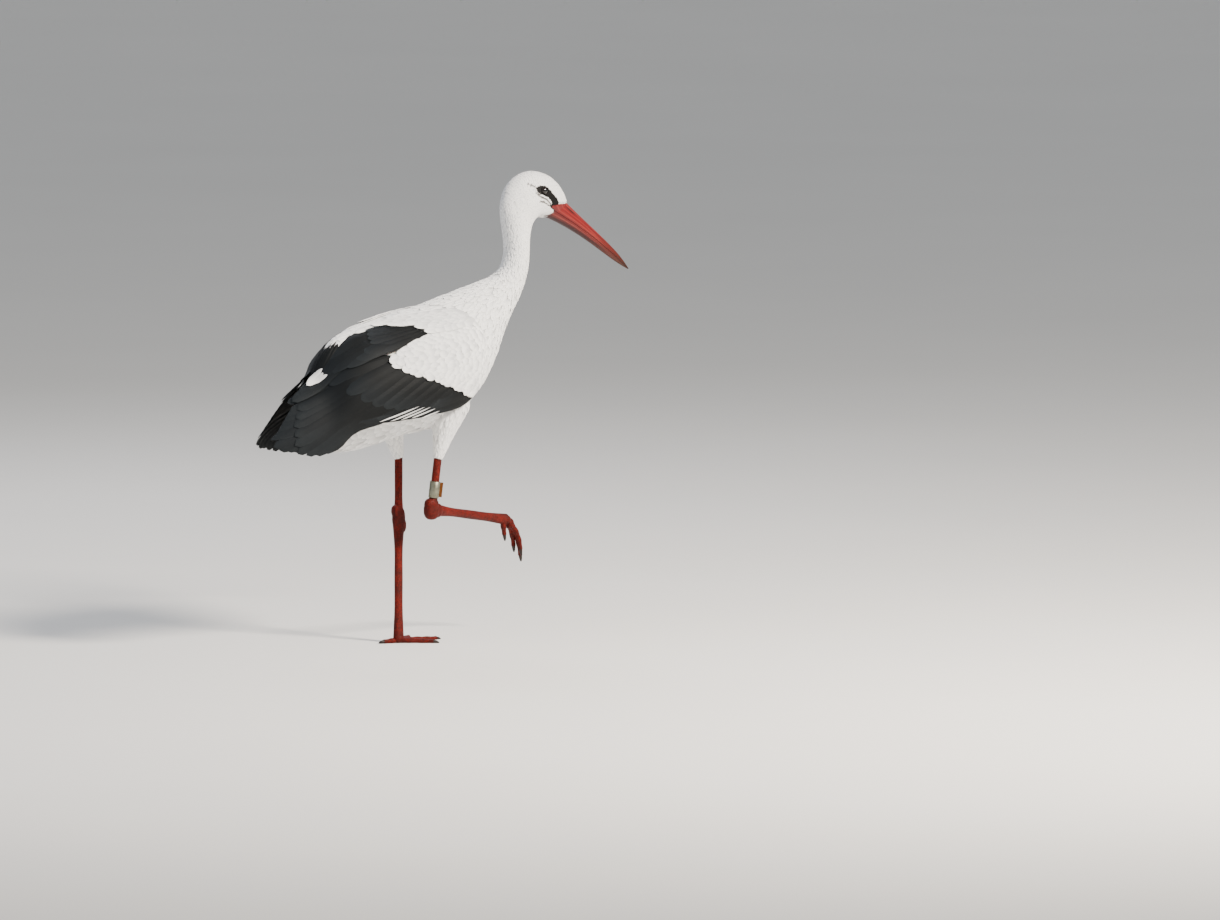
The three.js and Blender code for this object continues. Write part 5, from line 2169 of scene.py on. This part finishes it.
@dataclass(frozen=True)
class LegRing:
    """Bare split ring round the lifted leg's tibia, with its two flat lips in front."""

    leg: LegForm
    bore: float = 7.2
    wall: float = 1.3
    height: float = 27.0
    above_heel: float = 20.0
    lip_width: float = 7.5
    split: float = 0.12  # half the gap between the lips
    edge: float = 0.35

    def placed(self, points: Array) -> Array:
        """Put points of an upright ring round the leg.

        Args:
            points: points of the ring, in millimetres.

        Returns:
            Points in metres.
        """
        heel, knee = np.array(self.leg.heel, float), np.array(self.leg.feathers_end, float)
        up = unit(knee - heel)
        turned = np.array(Vector((0, 0, 1)).rotation_difference(Vector(up)).to_matrix())
        return self.leg.frame.metres(points @ turned.T + (heel + up * self.above_heel))

    def tube(self) -> Object:
        """Make the ring's round wall.

        Returns:
            The wall.
        """
        inner, outer, high, e = self.bore, self.bore + self.wall, self.height, self.edge
        profile = [(inner, e), (inner + e, 0), (outer - e, 0), (outer, e), (outer, high - e),
                   (outer - e, high), (inner + e, high), (inner, high - e)]
        points = [[[r * math.cos(a), r * math.sin(a), z] for r, z in profile] for a in full_turn(96)]
        return closed_tube("ring", self.placed(np.array(points)), loop=True)

    def lip(self, near: float, far: float) -> Object:
        """Make one flat lip.

        Args:
            near: where its thickness starts.
            far: where it ends.

        Returns:
            The lip.
        """
        start = self.bore + self.wall
        low = np.array([start - 0.4, near, self.height * 0.05])
        high = np.array([start + self.lip_width, far, self.height * 0.95])
        made = box_object("lip", low * MM, high * MM)
        bevel = made.modifiers.new("Edge", "BEVEL")
        bevel.width = self.edge * MM
        bevel.segments = 3
        made.data = evaluated(made)
        made.modifiers.clear()
        move_points(made.data, self.placed(read_points(made.data) / MM))
        return made

    def build(self, finishes: Finishes) -> Object:
        """Make the ring.

        Args:
            finishes: the bird's materials.

        Returns:
            The piece.
        """
        parts = [self.tube(), self.lip(-self.wall, -self.split), self.lip(self.split, self.wall)]
        for part, key in zip(parts, ("ring", "flange", "flange")):
            part.data.materials.append(finishes[key])
        return joined("leg_ring_metal", parts)


# --- studio
@dataclass(frozen=True)
class Studio:
    """Pale floor, soft light and the camera."""

    frame: BirdFrame
    right: Triple = (0.809, -0.588, 0.0)
    rise: float = 0.1045
    focus: Pair = (348.15, 302.4)  # middle of the view, in millimetres right and up
    distance: float = 30.0
    wide: float = 1220 * 1.65 * MM  # what the picture's width covers at the bird

    def axes(self) -> tuple[Array, Array, Array]:
        """Return the camera's directions right, up and ahead."""
        right = unit(np.array(self.right))
        level = np.array([-right[1], right[0], 0.0])
        flat = math.sqrt(1 - self.rise ** 2)
        ahead = level * flat - np.array([0, 0, self.rise])
        return right, np.cross(right, ahead), ahead

    def camera(self) -> None:
        """Place the camera."""
        right, up, ahead = self.axes()
        middle = self.frame.metres(right * self.focus[0] + up * self.focus[1])
        data = bpy.data.cameras.new("camera")
        data.sensor_fit = "HORIZONTAL"
        data.sensor_width = 36.0
        data.lens = 36.0 * self.distance / self.wide
        data.clip_end = 200.0
        made = link("camera", data)
        made.location = middle - ahead * self.distance
        made.rotation_euler = Vector(ahead).to_track_quat("-Z", "Y").to_euler()
        bpy.context.scene.camera = made

    def floor(self) -> None:
        """Lay the floor."""
        made = box_object("floor", np.array([-40, -40, -0.02]), np.array([40, 40, 0.0]))
        made.data.materials.append(FloorFinish("Matt painted studio floor", "dcdad6", "e2e0dc").material())

    def light(self, name: str, offset: tuple, size: float, watts: float, colour: str) -> None:
        """Hang one soft light.

        Args:
            name: its name.
            offset: metres right, ahead and up from the bird.
            size: its width.
            watts: its power.
            colour: its colour.
        """
        right, _, _ = self.axes()
        level = np.array([-right[1], right[0], 0.0])
        data = bpy.data.lights.new(name, "AREA")
        data.shape = "DISK"
        data.size = size
        data.energy = watts
        data.color = to_linear(colour)[:3]
        made = link(name, data)
        aim = np.array([0.0, 0.0, 0.45])
        made.location = right * offset[0] + level * offset[1] + np.array([0, 0, offset[2]])
        made.rotation_euler = Vector(aim - np.array(made.location)).to_track_quat("-Z", "Y").to_euler()
        made.visible_camera = False

    def world(self) -> None:
        """Set the pale surroundings."""
        made = bpy.data.worlds.new("studio")
        made.use_nodes = True
        back = made.node_tree.nodes["Background"]
        back.inputs["Color"].default_value = to_linear("dfe2e6")
        back.inputs["Strength"].default_value = 0.68
        bpy.context.scene.world = made

    def build(self) -> None:
        """Set up the studio."""
        self.camera()
        self.floor()
        self.world()
        self.light("key", (2.4, -1.7, 2.6), 0.9, 390, "fff5e8")
        self.light("fill", (-2.6, -1.8, 1.6), 2.2, 30, "dfe8ff")
        self.light("back", (-0.8, 2.4, 2.4), 1.8, 40, "f4f6ff")


# --- assembly
def settle(pieces: list[Object], nodes: tuple[str, ...] = ()) -> None:
    """Tie finished pieces to the model.

    Args:
        pieces: the pieces.
        nodes: the CAD nodes that they stand for.
    """
    for piece in pieces:
        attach(piece, "root")
        if nodes:
            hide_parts(*nodes)
        log.info("%s: %d vertices", piece.name, len(piece.data.vertices))


def main() -> None:
    """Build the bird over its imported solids."""
    logging.basicConfig(level=logging.INFO, format="%(name)s: %(message)s")
    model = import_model()
    names = list(model["nodes"])
    frame = BirdFrame.from_model()
    Studio(frame).build()
    finishes = Palette().materials()
    body = BodyForm(frame)
    face = BareFace(frame)
    wings = [WingForm(frame, side) for side in Side]
    legs = [standing_leg(frame), lifted_leg(frame)]
    grower = VaneGrower()
    folded = [WingPlumage(wing) for wing in wings]
    plumage = BodyPlumage(body, face, [wing.surface for wing in folded])
    covered = ("head", "neck", "trunk", "tail", "leg_left", "leg_right")
    flesh = tuple(n for n in names if n.startswith(covered) and "claw" not in n and n != "leg_ring")
    settle([Skin(body, plumage, wings, legs, face).build(finishes)], flesh)
    white, black = plumage.build(grower, finishes)
    settle(white)
    settle(black)
    for leg in legs:
        settle(ThighPlumage(leg).build(grower, finishes["white"]))
    for wing in folded:
        for name, dark, pieces in wing.build(grower, finishes):
            node = f"wing_{wing.side.label}_{name}"
            settle(pieces, (node,) if node in names else ())
    for node, piece in Bill(body, face).build(finishes).items():
        settle([piece], (node,))
    for side in Side:
        settle([Eye(frame, side).build(finishes)], (f"eye_{side.label}",))
    for leg in legs:
        claws = tuple(n for n in names if n.startswith(f"leg_{leg.side.label}_claw"))
        settle([Claws(leg).build(finishes)], claws)
    settle([LegRing(legs[1]).build(finishes)], ("leg_ring",))
    drop(*(wing.sheet for wing in folded))


if __name__ == "__main__":
    main()
